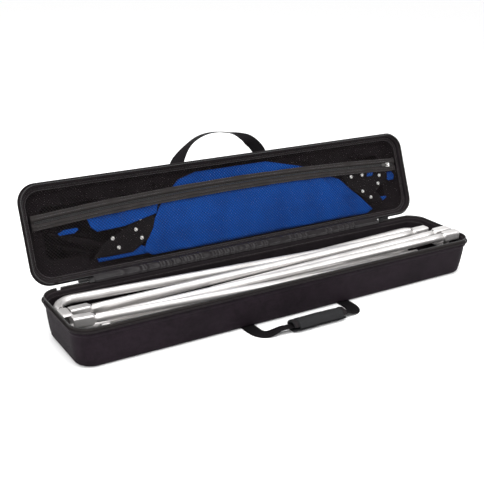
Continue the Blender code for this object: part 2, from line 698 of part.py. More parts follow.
def cut_tail_recesses():
    """Shallow recesses in the base's underside for the sewn ends of its handle."""
    shell = bpy.data.objects["base_shell"]
    half = STRAP_WIDTH / 2 + FIT
    for side, sign in (("left", -1), ("right", 1)):
        x = BASE_HANDLE_X + sign * BASE_ANCHOR_X
        y_high = BASE_ANCHOR_Y + TAIL_LENGTH + 0.015 + FIT
        outline = [(x - half, -0.16), (x + half, -0.16), (x + half, y_high), (x - half, y_high)]
        cutter = plate("recess_cutter_" + side, outline, -0.01, STRAP_THICKNESS + FIT,
                       bpy.data.materials["shell_fabric"])
        cutter.hide_render = True
        cutter.display_type = "WIRE"
        cut = shell.modifiers.new("recess_" + side, "BOOLEAN")
        cut.operation = "DIFFERENCE"
        cut.solver = "EXACT"
        cut.object = cutter


# ---- Build --------------------------------------------------------------------------------
def main():
    clear_scene()
    mats = {
        "shell": material("shell_fabric", (0.022, 0.020, 0.024), 0.75),
        "lining": material("lining_fabric", (0.016, 0.015, 0.017), 0.80),
        "binding": material("binding_fabric", (0.035, 0.034, 0.036), 0.60),
        "tape": material("zipper_tape", (0.050, 0.048, 0.050), 0.70),
        "teeth": material("zipper_teeth", (0.020, 0.020, 0.022), 0.35),
        "mesh": material("pocket_mesh", (0.018, 0.017, 0.018), 0.65),
        "webbing": material("webbing", (0.018, 0.018, 0.019), 0.60),
        "grip": material("grip_fabric", (0.035, 0.036, 0.038), 0.60),
        "metal": material("slider_metal", (0.060, 0.060, 0.062), 0.35, 1.0),
        "bright_metal": material("pocket_slider_metal", (0.55, 0.55, 0.56), 0.25, 1.0),
        "aluminium": material("polished_aluminium", (0.80, 0.80, 0.79), 0.22, 1.0),
        "blue": material("blue_fabric", (0.020, 0.080, 0.330), 0.65),
    }
    lid = bpy.data.objects.new("lid_pivot", None)
    bpy.context.scene.collection.objects.link(lid)
    opening = Matrix.Rotation(math.radians(-LID_OPEN_DEG), 4, "X")
    lid.matrix_world = Matrix.Translation(HINGE_LINE) @ opening @ Matrix.Translation(-HINGE_LINE)

    make_shell("base", BASE_DEPTH, BASE_FILLET, 0.0, 1, mats)
    make_rim("base", RIM_Z, 1, mats)
    make_shell("lid", LID_DEPTH, LID_FILLET, LID_TOP_Z, -1, mats, lid)
    make_rim("lid", LID_RIM_Z, -1, mats, lid)
    make_hinge(mats, lid)
    make_zip_ends(mats)
    make_pocket(mats, lid)
    make_sliders(mats, lid)
    make_lid_handle(mats, lid)
    make_base_handle(mats)
    cut_tail_recesses()
    make_contents(mats)
    make_panel(mats, lid)


main()
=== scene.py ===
"""The long zip-up carry case, with its packed tube frame and its folded cloth, dressed over the CAD frame.

Pieces of the lid are worked out closed, in the case's own axes, and then turned about the hinge
line by the angle that the lid stands open at. Pattern sizes and all lengths are in metres.
"""

import json
import math

import bmesh
import bpy
import numpy as np
from mathutils import Matrix, Vector


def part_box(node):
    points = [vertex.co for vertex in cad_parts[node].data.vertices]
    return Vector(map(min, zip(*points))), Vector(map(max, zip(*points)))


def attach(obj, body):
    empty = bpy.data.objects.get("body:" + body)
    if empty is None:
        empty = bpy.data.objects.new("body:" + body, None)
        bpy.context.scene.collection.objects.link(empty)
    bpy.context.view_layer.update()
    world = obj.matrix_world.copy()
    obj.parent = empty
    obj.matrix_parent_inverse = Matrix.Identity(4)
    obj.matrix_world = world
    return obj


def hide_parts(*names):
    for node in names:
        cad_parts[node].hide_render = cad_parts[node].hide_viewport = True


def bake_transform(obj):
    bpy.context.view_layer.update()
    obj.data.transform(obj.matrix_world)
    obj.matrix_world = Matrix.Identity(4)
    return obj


bl_info = {
    "name": "Carry case with packed frame",
    "version": (1, 0, 0),
    "blender": (4, 5, 0),
    "location": "View3D > Sidebar > Carry Case",
    "description": "Builds the detailed pieces of a long zip-up carry case over its CAD frame",
    "category": "Object",
}

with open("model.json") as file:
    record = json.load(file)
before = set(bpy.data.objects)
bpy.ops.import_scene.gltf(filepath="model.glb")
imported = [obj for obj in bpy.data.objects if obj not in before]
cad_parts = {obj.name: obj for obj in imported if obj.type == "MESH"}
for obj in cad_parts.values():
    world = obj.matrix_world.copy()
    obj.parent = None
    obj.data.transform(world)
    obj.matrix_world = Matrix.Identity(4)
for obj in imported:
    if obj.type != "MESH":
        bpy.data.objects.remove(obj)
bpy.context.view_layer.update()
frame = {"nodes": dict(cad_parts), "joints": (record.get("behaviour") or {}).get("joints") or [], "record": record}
PIPING_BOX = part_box("base_rim_piping")
LID_JOINT = next(j for j in frame["joints"] if j["name"] == "lid_hinge")
HINGE = np.array(LID_JOINT["pos_m"], float)
OPEN_ANGLE = math.radians(-LID_JOINT["range_deg"][0])
HALF_LENGTH = PIPING_BOX[1].x + 0.0003
HALF_WIDTH = PIPING_BOX[1].y + 0.0003
RIM_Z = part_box("base_shell")[1].z
HALF_ZIP = HINGE[2] - RIM_Z
LID_RIM_Z = RIM_Z + 2 * HALF_ZIP
HINGE_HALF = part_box("hinge_welt")[1].x
LID_DEPTH = 0.050
BASE_FILLET, LID_FILLET = 0.012, 0.017
GRIP_STRAP_WIDTH = 0.023
CAMERA_SPOT = (-1.1789, -1.7050, 0.9491)
CAMERA_YAW, CAMERA_PITCH, CAMERA_ROLL = 0.5620, 0.3631, 0.0204


def opened(points):
    """Turns points of the closed lid about the hinge line to where the lid stands open."""
    c, s = math.cos(-OPEN_ANGLE), math.sin(-OPEN_ANGLE)
    p = np.asarray(points, float) - HINGE
    swung = np.stack([p[..., 0], p[..., 1] * c - p[..., 2] * s, p[..., 1] * s + p[..., 2] * c], -1)
    return swung + HINGE


def turned(direction):
    """Turns a direction of the closed lid to the open lid's."""
    return opened(direction) - opened([0, 0, 0.0])


# ---- Shader expressions ---------------------------------------------------------------------
class Value:
    """A number in a shader that is worked out with Python's operators."""

    def __init__(self, paint, socket):
        self.paint, self.socket = paint, socket

    def _math(self, operation, *values):
        return self.paint.math(operation, *values)

    def __add__(self, other):
        return self._math("ADD", self, other)

    __radd__ = __add__

    def __mul__(self, other):
        return self._math("MULTIPLY", self, other)

    __rmul__ = __mul__

    def __sub__(self, other):
        return self._math("SUBTRACT", self, other)

    def __rsub__(self, other):
        return self._math("SUBTRACT", other, self)

    def __truediv__(self, other):
        return self._math("DIVIDE", self, other)

    def __pow__(self, other):
        return self._math("POWER", self, other)

    def __lt__(self, other):
        return self._math("LESS_THAN", self, other)

    def __gt__(self, other):
        return self._math("GREATER_THAN", self, other)

    def sin(self):
        return self._math("SINE", self)

    def abs(self):
        return self._math("ABSOLUTE", self)

    def fract(self):
        return self._math("FRACT", self)

    def max(self, other):
        return self._math("MAXIMUM", self, other)

    def clamp(self):
        return self.paint.node("ShaderNodeClamp", {}, {"Value": self})

    def smooth(self, low, high):
        settings = {"interpolation_type": "SMOOTHSTEP"}
        sockets = {"Value": self, "From Min": low, "From Max": high}
        return self.paint.node("ShaderNodeMapRange", settings, sockets)


class Paint:
    """One material: a Principled shader and the few kinds of node that feed it."""

    def __init__(self, name, color, roughness, metallic=0.0, **fixed):
        self.material = bpy.data.materials.new(name)
        self.material.use_nodes = True
        self.tree = self.material.node_tree
        self.shader = self.tree.nodes["Principled BSDF"]
        self.put(self.shader, "Base Color", (*color, 1.0))
        self.put(self.shader, "Roughness", roughness)
        self.put(self.shader, "Metallic", metallic)
        for socket, value in fixed.items():
            self.put(self.shader, socket.replace("_", " "), value)
        self.material.diffuse_color = (*color, 1.0)

    def put(self, node, socket, value):
        target = node.inputs[socket]
        if isinstance(value, Value):
            self.tree.links.new(value.socket, target)
        else:
            target.default_value = value

    def node(self, kind, settings, sockets, output=0):
        made = self.tree.nodes.new(kind)
        for name, value in settings.items():
            setattr(made, name, value)
        for name, value in sockets.items():
            self.put(made, name, value)
        return Value(self, made.outputs[output])

    def math(self, operation, *values):
        settings = {"operation": operation}
        return self.node("ShaderNodeMath", settings, dict(enumerate(values)))

    def position(self, scale=(1.0, 1.0, 1.0), turn=(0.0, 0.0, 0.0)):
        where = self.node("ShaderNodeTexCoord", {}, {}, "Object")
        return self.node("ShaderNodeMapping", {}, {"Vector": where, "Scale": scale, "Rotation": turn})

    def axes(self, vector):
        return [self.node("ShaderNodeSeparateXYZ", {}, {"Vector": vector}, k) for k in range(3)]

    def flat(self):
        """Distance along and across the piece, from its own UV map, in metres."""
        return self.axes(self.node("ShaderNodeTexCoord", {}, {}, "UV"))[:2]

    def noise(self, scale, detail=3.0, rough=0.55, vector=None):
        where = vector if vector is not None else self.position()
        sockets = {"Vector": where, "Scale": scale, "Detail": detail, "Roughness": rough}
        return self.node("ShaderNodeTexNoise", {}, sockets)

    def mix(self, share, first, second):
        """A colour between two colours, by share."""
        made = self.tree.nodes.new("ShaderNodeMix")
        made.data_type = "RGBA"
        self.put(made, 0, share)
        for index, color in ((6, first), (7, second)):
            self.put(made, index, color if isinstance(color, Value) else (*color, 1.0))
        return Value(self, made.outputs[2])

    def color(self, value):
        self.put(self.shader, "Base Color", value)

    def rough(self, value):
        self.put(self.shader, "Roughness", value)

    def alpha(self, value):
        self.put(self.shader, "Alpha", value)

    def bump(self, height, distance, strength=1.0):
        sockets = {"Height": height, "Distance": distance, "Strength": strength}
        self.put(self.shader, "Normal", self.node("ShaderNodeBump", {}, sockets))


def plain_weave(u, v, pitch, share=1.0):
    """Height of a plain weave: warp threads pass over where a checker is on, weft where it's off.
    Each thread's crown is the absolute sine across it."""
    across = (u * (math.pi / pitch)).sin()
    along = (v * (math.pi / (pitch * share))).sin()
    over = (across * along) > 0.0
    return across.abs() * over + along.abs() * (1.0 - over)


def shell_cloth():
    paint = Paint("shell_cloth", (0.0125, 0.0080, 0.0115), 0.62, Specular_IOR_Level=0.06)
    u, v = paint.flat()
    weave = plain_weave(u, v, 0.00085)
    tone = paint.noise(9.0, 3.0) * 0.35 + paint.noise(70.0, 2.0) * 0.3 + paint.noise(330.0, 3.0) * 0.35
    colours = bpy.context.scene.carry_case_colours
    base = paint.mix(tone.smooth(0.35, 0.65), colours.shell_dark, colours.shell_light)
    paint.color(paint.mix(weave * 0.5 + 0.3, (0.0040, 0.0025, 0.0037), base))
    paint.rough(0.55 + tone * 0.2)
    paint.bump(weave + paint.noise(14.0, 2.0) * 1.4, 0.00022, 0.8)
    return paint.material


def lining_cloth():
    paint = Paint("lining_cloth", (0.0075, 0.0068, 0.0075), 0.7, Specular_IOR_Level=0.08)
    u, v = paint.flat()
    weave = plain_weave(u, v, 0.0006)
    tone = paint.noise(22.0, 4.0)
    paint.color(paint.mix(tone.smooth(0.25, 0.75), (0.0040, 0.0028, 0.0036), (0.0088, 0.0064, 0.0080)))
    paint.rough(0.62 + tone * 0.2)
    paint.bump(weave * 0.3 + paint.noise(30.0, 3.0), 0.0012, 0.5)
    return paint.material


def ribbed_tape(name, dark, light, pitch, roughness):
    """Grosgrain or zip tape: fine ribs across the tape and a slow change of tone along it."""
    paint = Paint(name, light, roughness, Specular_IOR_Level=0.05)
    u, v = paint.flat()
    ribs = (u * (math.pi / pitch)).sin().abs()
    lines = (v * (math.pi / (pitch * 2.2))).sin().abs()
    height = ribs * 0.7 + lines * 0.3
    tone = paint.noise(40.0, 3.0)
    paint.color(paint.mix((height * 0.6 + tone * 0.5).clamp(), dark, light))
    paint.rough(roughness - 0.08 + tone * 0.16)
    paint.bump(height, 0.00025, 0.7)
    return paint.material


def webbing_cloth():
    """Woven webbing: chevron ribs, where the slope of each rib turns over in every band."""
    paint = Paint("webbing_cloth", (0.008, 0.008, 0.0085), 0.6, Specular_IOR_Level=0.02)
    u, v = paint.flat()
    band = (v * (1.0 / 0.0048)).fract()
    slope = (band - 0.5).abs() * 2.0
    ribs = ((u * (1.0 / 0.0016) + slope * 1.3) * math.pi).sin().abs()
    edge = (band * math.pi).sin()
    height = ribs * 0.6 + edge * 0.5
    tone = paint.noise(60.0, 2.0)
    paint.color(paint.mix((height * 0.7 + tone * 0.3).clamp(), (0.0026, 0.0022, 0.0025), (0.0100, 0.0090, 0.0098)))
    paint.rough(0.42 + tone * 0.2)
    paint.bump(height, 0.0004, 0.8)
    return paint.material


def grip_cloth():
    paint = Paint("grip_cloth", (0.0165, 0.0155, 0.0158), 0.6, Specular_IOR_Level=0.04)
    u, v = paint.flat()
    weave = plain_weave(u, v, 0.0011)
    tone = paint.noise(35.0, 3.0)
    paint.color(paint.mix((weave * 0.5 + tone * 0.5).clamp(), (0.009, 0.009, 0.0095), (0.026, 0.026, 0.0275)))
    paint.rough(0.5 + tone * 0.2)
    paint.bump(weave + tone * 0.6, 0.0003, 0.8)
    return paint.material


def pocket_net():
    """Open net: threads cross at a slant, and the holes between them let light through."""
    paint = Paint("pocket_net", (0.014, 0.011, 0.012), 0.6, Specular_IOR_Level=0.03)
    u, v = paint.flat()
    pitch = 0.0084
    first = ((u + v * 0.9) * (math.pi / pitch)).sin().abs()
    second = ((u * 0.9 - v) * (math.pi / pitch)).sin().abs()
    thread = (1.0 - first.smooth(0.16, 0.44)).max(1.0 - second.smooth(0.08, 0.28))
    paint.color(paint.mix(paint.noise(120.0), (0.0080, 0.0064, 0.0068), (0.0200, 0.0165, 0.0170)))
    paint.alpha(thread * 0.9 + 0.03)
    paint.bump(thread, 0.0003, 0.6)
    return paint.material


def blue_cloth():
    """Soft tent cloth: a fine plain weave, a slow change of tone, and small creases."""
    paint = Paint("blue_cloth", (0.002, 0.042, 0.220), 0.62, Specular_IOR_Level=0.03)
    u, v = paint.flat()
    weave = plain_weave(u, v, 0.0007)
    tone = paint.noise(11.0, 4.0)
    colours = bpy.context.scene.carry_case_colours
    paint.color(paint.mix((tone * 0.8 + weave * 0.2).smooth(0.2, 0.8), colours.cloth_dark, colours.cloth_light))
    paint.rough(0.55 + tone * 0.15)
    creases = paint.noise(26.0, 5.0, 0.6, paint.position(turn=(0.0, 0.5, 0.3)))
    paint.bump(weave * 0.12 + creases, 0.0016, 0.6)
    return paint.material


def polished_tube():
    """Satin aluminium: fine lines drawn along the tube and a faint haze in its bump and roughness; in its colour, dark
    and light streaks along the tube are painted reflection, over a random tone from the haze.
    """
    paint = Paint("polished_tube", (0.58, 0.565, 0.555), 0.34, 0.72)
    u, v = paint.flat()
    along = paint.node("ShaderNodeCombineXYZ", {}, {"X": u * 3.0, "Y": v * 700.0, "Z": 0.0})
    lines = paint.noise(1.0, 3.0, 0.6, along)
    haze = paint.noise(12.0, 4.0)
    painted_reflection_and_tone = (lines * 0.7 + haze * 0.5).smooth(0.36, 0.70)
    colours = bpy.context.scene.carry_case_colours
    # Painted reflection: the dark and light streaks along each tube stand in for the dark lines that polished tubes
    # reflect, with a random tone from the haze.
    paint.color(paint.mix(painted_reflection_and_tone, colours.tube_dark, colours.tube_light))
    paint.rough(0.24 + lines * 0.16 + haze * 0.10)
    paint.bump(lines, 0.00006, 0.5)
    return paint.material


def enamelled_metal():
    paint = Paint("enamelled_metal", (0.012, 0.012, 0.013), 0.35, Coat_Weight=0.4, Coat_Roughness=0.2)
    wear = paint.noise(240.0, 3.0)
    paint.color(paint.mix(wear.smooth(0.68, 0.8), (0.010, 0.010, 0.011), (0.16, 0.155, 0.15)))
    paint.rough(0.3 + wear * 0.2)
    return paint.material


def nickel():
    paint = Paint("nickel", (0.46, 0.44, 0.42), 0.3, 1.0)
    wear = paint.noise(180.0, 3.0)
    paint.rough(0.24 + wear * 0.2)
    paint.color(paint.mix(wear, (0.55, 0.54, 0.52), (0.80, 0.79, 0.77)))
    return paint.material


def coil_nylon():
    paint = Paint("coil_nylon", (0.018, 0.0175, 0.018), 0.36, Specular_IOR_Level=0.5)
    paint.rough(0.28 + paint.noise(300.0, 2.0) * 0.2)
    return paint.material


def thread():
    paint = Paint("thread", (0.022, 0.021, 0.022), 0.5, Sheen_Weight=0.3)
    twist = (paint.axes(paint.position())[0] * 5200.0).sin()
    paint.bump(twist, 0.0001, 0.4)
    return paint.material


def gloss_lining():
    """Gathered nylon: it catches the light along each pucker."""
    paint = Paint("gloss_lining", (0.010, 0.008, 0.009), 0.36, Specular_IOR_Level=0.13)
    tone = paint.noise(45.0, 4.0)
    paint.color(paint.mix(tone, (0.0040, 0.0030, 0.0036), (0.0120, 0.0098, 0.0110)))
    paint.rough(0.25 + tone * 0.2)
    paint.bump(paint.noise(90.0, 4.0), 0.0010, 0.7)
    return paint.material


def dark_bore():
    paint = Paint("dark_bore", (0.05, 0.048, 0.046), 0.5, 0.7)
    paint.rough(0.5 + paint.noise(80.0) * 0.2)
    return paint.material


MATERIALS = {}


def finish_of(name):
    """The material of that name, made the first time it is asked for."""
    makers = {
        "shell": shell_cloth, "lining": lining_cloth, "webbing": webbing_cloth, "grip": grip_cloth,
        "net": pocket_net, "blue": blue_cloth, "tube": polished_tube, "enamel": enamelled_metal,
        "nickel": nickel, "coil": coil_nylon, "thread": thread, "gloss": gloss_lining, "bore": dark_bore,
        "binding": lambda: ribbed_tape("binding_tape", (0.0060, 0.0046, 0.0052), (0.0190, 0.0152, 0.0165),
                                       0.0012, 0.55),
        "tape": lambda: ribbed_tape("zip_tape", (0.0095, 0.0082, 0.0085), (0.0280, 0.0250, 0.0245), 0.0009, 0.58),
        "piping": lambda: ribbed_tape("piping_cover", (0.0060, 0.0048, 0.0054), (0.0160, 0.0135, 0.0145), 0.0010, 0.48),
    }
    if name not in MATERIALS:
        MATERIALS[name] = makers[name]()
    return MATERIALS[name]


# ---- Surfaces -------------------------------------------------------------------------------
def build_mesh(name, points, quads, uv, finish, caps=(), smooth=True):
    """Puts points, four-cornered faces, flat caps and a UV for each corner into a new object."""
    points = np.asarray(points, np.float64).reshape(-1, 3)
    quads = np.asarray(quads, np.int32).reshape(-1, 4)
    loops = [quads.ravel()] + [np.asarray(c, np.int32) for c in caps]
    totals = np.concatenate([np.full(len(quads), 4), [len(c) for c in caps]]).astype(np.int32)
    starts = np.concatenate([[0], np.cumsum(totals)[:-1]]).astype(np.int32)
    flat = np.concatenate(loops).astype(np.int32)
    mesh = bpy.data.meshes.new(name)
    mesh.vertices.add(len(points))
    mesh.vertices.foreach_set("co", points.astype(np.float32).ravel())
    mesh.loops.add(len(flat))
    mesh.loops.foreach_set("vertex_index", flat)
    mesh.polygons.add(len(totals))
    mesh.polygons.foreach_set("loop_start", starts)
    mesh.update(calc_edges=True)
    if uv is not None:
        corners = np.asarray(uv, np.float32).reshape(-1, 2)
        extra = len(flat) - len(corners)
        corners = np.concatenate([corners, np.zeros((extra, 2), np.float32)])
        layer = mesh.uv_layers.new(name="UVMap")
        layer.data.foreach_set("uv", corners.ravel())
    mesh.materials.append(finish_of(finish))
    if smooth:
        mesh.shade_smooth()
    obj = bpy.data.objects.new(name, mesh)
    bpy.context.scene.collection.objects.link(obj)
    return obj


def grid_faces(n, m, closed_n, closed_m):
    """Corner indices of the faces of an n by m grid, wrapping round where it is closed, and the
    unwrapped row and column of each corner for its UV."""
    i = np.arange(n if closed_n else n - 1)[:, None]
    j = np.arange(m if closed_m else m - 1)[None, :]
    i, j = np.broadcast_arrays(i, j)
    rows = np.stack([i, i, i + 1, i + 1], -1)
    cols = np.stack([j, j + 1, j + 1, j], -1)
    return (rows % n) * m + cols % m, rows, cols


def lengths(points, closed):
    """Distance along each row of points, with one more station where the row closes."""
    p = np.concatenate([points, points[:1]]) if closed else points
    step = np.linalg.norm(np.diff(p, axis=0), axis=-1)
    return np.concatenate([np.zeros((1, *step.shape[1:])), np.cumsum(step, 0)])


def surface(name, points, finish, closed_n=False, closed_m=False, caps=False, flip=False, smooth=True, spread=None):
    """A grid of points as a surface. Its UV is the distance along and across it, measured on its
    middle row and column, or the spread that is given for each point. Caps close the first and
    last rows."""
    n, m = points.shape[:2]
    quads, rows, cols = grid_faces(n, m, closed_n, closed_m)
    if spread is None:
        along = lengths(points[:, m // 2], closed_n)
        across = lengths(points[n // 2], closed_m)
        uv = np.stack([along[rows], across[cols]], -1)
    else:
        uv = spread[rows % n, cols % m]
    ends = []
    if caps:
        ends = [list(range(m))[::-1], [(n - 1) * m + k for k in range(m)]]
    if flip:
        quads, uv = quads[..., ::-1], uv[..., ::-1, :]
        ends = [e[::-1] for e in ends]
    return build_mesh(name, points, quads, uv, finish, ends, smooth)


def copies(name, shape, faces, places, finish, smooth=True):
    """One small shape repeated: shape is its points, and places holds for each copy its origin and
    three axes, so a point lands at origin + x a + y b + z c."""
    origin, a, b, c = places
    pts = origin[:, None] + shape[None, :, :1] * a[:, None] + shape[None, :, 1:2] * b[:, None]
    pts = pts + shape[None, :, 2:] * c[:, None]
    index = np.asarray(faces)[None] + (np.arange(len(origin)) * len(shape))[:, None, None]
    uv = np.zeros((index.size, 2), np.float32)
    return build_mesh(name, pts, index, uv, finish, smooth=smooth)


def bead():
    """A closed six-sided bead of half sizes 1 by 1 by 1: four rings along x, whose two ends are
    each closed by two four-cornered faces."""
    steps = 6
    angles = np.linspace(0, 2 * np.pi, steps, endpoint=False)
    rings = []
    for x, r in ((-1.0, 0.45), (-0.55, 1.0), (0.55, 1.0), (1.0, 0.45)):
        rings.append(np.stack([np.full(steps, x), r * np.cos(angles), r * np.sin(angles)], -1))
    faces = []
    for k in range(3):
        for j in range(steps):
            n = (j + 1) % steps
            faces.append((k * steps + j, k * steps + n, (k + 1) * steps + n, (k + 1) * steps + j))
    for k, order in ((0, (0, 3, 2, 1)), (3, (0, 1, 2, 3))):
        faces.append(tuple(k * steps + o for o in order))
        second = (0, 5, 4, 3) if k == 0 else (0, 3, 4, 5)
        faces.append(tuple(k * steps + o for o in second))
    return np.concatenate(rings), [tuple(reversed(f)) for f in faces]


def unit(v):
    return v / np.maximum(np.linalg.norm(v, axis=-1, keepdims=True), 1e-12)


def tangents(path, closed=False):
    """Direction of a path at each point, from its neighbours."""
    if closed:
        return unit(np.roll(path, -1, 0) - np.roll(path, 1, 0))
    return unit(np.gradient(path, axis=0))


def even_points(path, pitch, closed=False, offset=0.5):
    """Points every pitch along a path, with the path's direction there."""
    p = np.concatenate([path, path[:1]]) if closed else path
    s = np.concatenate([[0], np.cumsum(np.linalg.norm(np.diff(p, axis=0), axis=1))])
    count = int(s[-1] / pitch)
    at = (np.arange(count) + offset) * (s[-1] / count)
    spots = np.stack([np.interp(at, s, p[:, k]) for k in range(3)], -1)
    ahead = np.stack([np.interp(at + pitch * 0.2, s, p[:, k]) for k in range(3)], -1)
    behind = np.stack([np.interp(at - pitch * 0.2, s, p[:, k]) for k in range(3)], -1)
    return spots, unit(ahead - behind)


def stitches(name, path, out, pitch=0.0034, length=0.0024, width=0.0008, closed=False, finish="thread"):
    """Thread lying along a path on a surface whose outward direction is out."""
    spots, along = even_points(path, pitch, closed)
    out = unit(np.broadcast_to(np.asarray(out, float), spots.shape))
    side = unit(np.cross(out, along))
    shape, faces = bead()
    places = (spots, along * (length / 2), side * (width / 2), np.cross(along, side) * (width * 0.42))
    return copies(name, shape, faces, places, finish)


def sweep(path, section, up, closed=False):
    """Carries a section along a path: a section point (a, b) lands at path + side a + lift b, where
    side is across the path and lift is what is left of up."""
    t = tangents(path, closed)
    up = np.broadcast_to(np.asarray(up, float), path.shape)
    lift = unit(up - t * (up * t).sum(-1, keepdims=True))
    side = np.cross(t, lift)
    section = np.asarray(section, float)
    if section.ndim == 2:
        section = np.broadcast_to(section, (len(path), *section.shape))
    return path[:, None] + section[..., :1] * side[:, None] + section[..., 1:] * lift[:, None]


def along_x(x, section):
    """Carries a section of (y, z) points along the x axis. The section may change from x to x."""
    section = np.broadcast_to(section, (len(x), *section.shape[-2:]))
    return np.concatenate([np.broadcast_to(x[:, None, None], (*section.shape[:2], 1)), section], 2)


def circle(radius, count, squareness=2.0):
    """A ring of points: a circle at squareness 2, and nearly a square at 10."""
    a = np.linspace(0, 2 * np.pi, count, endpoint=False) + np.pi / count
    c, s = np.cos(a), np.sin(a)
    reach = radius / (np.abs(c) ** squareness + np.abs(s) ** squareness) ** (1 / squareness)
    return np.stack([reach * c, reach * s], -1)


def ripple(x, y, seed, wave=0.12, count=7):
    """A smooth uneven field about one unit high: a few sine waves with set directions and phases."""
    rng = np.random.default_rng(seed)
    total = 0.0
    for _ in range(count):
        angle, phase = rng.uniform(0, 2 * np.pi, 2)
        k = 2 * np.pi / (wave * rng.uniform(0.6, 1.8))
        total = total + np.sin(k * (x * np.cos(angle) + y * np.sin(angle)) + phase)
    return total / math.sqrt(count)


def smooth_step(t):
    t = np.clip(t, 0, 1)
    return t * t * (3 - 2 * t)


def bezier(points, count):
    """Points on a smooth line through the given points, by Catmull-Rom blending."""
    p = np.asarray(points, float)
    p = np.concatenate([2 * p[:1] - p[1:2], p, 2 * p[-1:] - p[-2:-1]])
    spans = len(p) - 3
    t = np.linspace(0, spans, count)
    k = np.minimum(t.astype(int), spans - 1)
    f = (t - k)[:, None]
    a, b, c, d = p[k], p[k + 1], p[k + 2], p[k + 3]
    return 0.5 * (2 * b + (c - a) * f + (2 * a - 5 * b + 4 * c - d) * f**2 + (3 * b - a - 3 * c + d) * f**3)


# ---- The case's outline ---------------------------------------------------------------------
PLAN_RADIUS = 0.048
LONG_STEPS, SHORT_STEPS, CORNER_STEPS = 110, 20, 11


def rim_stations():
    """Stations round the case as (anchor, normal). The outline at an inset is anchor times the
    half sizes less the corner radius, plus the normal times that radius."""
    anchors, normals = [], []
    corners = ((-1, 1, 90), (-1, -1, 180), (1, -1, 270), (1, 1, 360))
    for k, (sx, sy, start) in enumerate(corners):
        a = np.radians(start + np.linspace(0, 90, CORNER_STEPS))
        normals.append(np.stack([np.cos(a), np.sin(a)], -1))
        anchors.append(np.tile([sx, sy], (CORNER_STEPS, 1)).astype(float))
        steps = SHORT_STEPS if k % 2 == 0 else LONG_STEPS
        nx, ny = corners[(k + 1) % 4][:2]
        t = np.linspace(0, 1, steps + 1)[1:-1, None]
        anchors.append(np.array([[sx, sy]]) * (1 - t) + np.array([[nx, ny]]) * t)
        normals.append(np.tile(normals[-1][-1], (steps - 1, 1)))
    return np.concatenate(anchors), np.concatenate(normals)


ANCHORS, NORMALS = rim_stations()


def outline(inset):
    """The rim's outline moved in by inset, as an array of (x, y)."""
    radius = PLAN_RADIUS - 0.45 * inset
    half = np.array([HALF_LENGTH - inset - radius, HALF_WIDTH - inset - radius])
    return ANCHORS * half + NORMALS * radius


def level_ring(inset, z):
    """The rim's outline moved in by inset, at height z."""
    return np.concatenate([outline(inset), np.full((len(ANCHORS), 1), z)], 1)


def ring_surface(profile):
    """The grid that a profile of (inset, z) makes round the case, station by level."""
    return np.stack([level_ring(inset, z) for inset, z in profile], 1)


def front_stations():
    """Indices of the stations from the zip's end at the back left, round the front, to the back
    right."""
    x, y = outline(0.0).T
    back = (y > HALF_WIDTH - 1e-6) & (np.abs(x) < HINGE_HALF + 0.030)
    return np.flatnonzero(~back)


def zip_path(inset, z):
    """The zip's line round the front and sides."""
    return level_ring(inset, z)[front_stations()]


def arc(centre, radius, start, end, steps):
    a = np.radians(np.linspace(start, end, steps))
    return np.stack([centre[0] + radius * np.cos(a), centre[1] + radius * np.sin(a)], -1)


def shell_levels(depth, fillet):
    """Levels of one half of the case as (inset, height over its flat face): the flat face, the
    rounded foot, the wall with a slight belly, a soft roll under the piping, and the rim."""
    foot = arc((0.016 + fillet, fillet), fillet, 268, 180, 10)
    t = np.linspace(0, 1, 9)[1:-1]
    top = depth - 0.018
    wall = np.stack([0.016 + (0.0082 - 0.016) * t - 0.0009 * np.sin(np.pi * t), fillet + (top - fillet) * t], -1)
    roll = np.array([(0.0082, top), (0.0068, depth - 0.0150), (0.0050, depth - 0.0128), (0.0040, depth - 0.0100),
                     (0.0043, depth - 0.0072), (0.0056, depth - 0.0050), (0.0062, depth - 0.0042),
                     (0.0050, depth - 0.0036), (0.0050, depth)])
    flat = [(0.0700, 0.0), (0.0450, 0.0)]
    return np.concatenate([flat, foot, wall, roll])


def inner_levels(depth, fillet, offset):
    """Levels of the inner wall from the rim to the floor, moved in by offset."""
    inner = fillet - 0.005
    top = np.array([(0.0100, -0.0004), (0.0105, -0.010), (0.0118, -0.020)]) + [offset, depth]
    t = np.linspace(0, 1, 8)[1:, None]
    side = top[-1] + (np.array([0.0205 + offset, fillet]) - top[-1]) * t
    foot = arc((0.0205 + inner, 0.005 + inner), inner - offset, 180, 270, 8)
    return np.concatenate([top, side[:-1], foot, [(0.060, 0.005 + offset)]])


def place_levels(levels, face_z, direction):
    return [(i, face_z + direction * h) for i, h in levels]


def settle(obj, body, node=None):
    """The piece rides on a body and stands for CAD nodes."""
    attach(obj, body)
    if node:
        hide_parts(*([node] if isinstance(node, str) else node))
    return obj


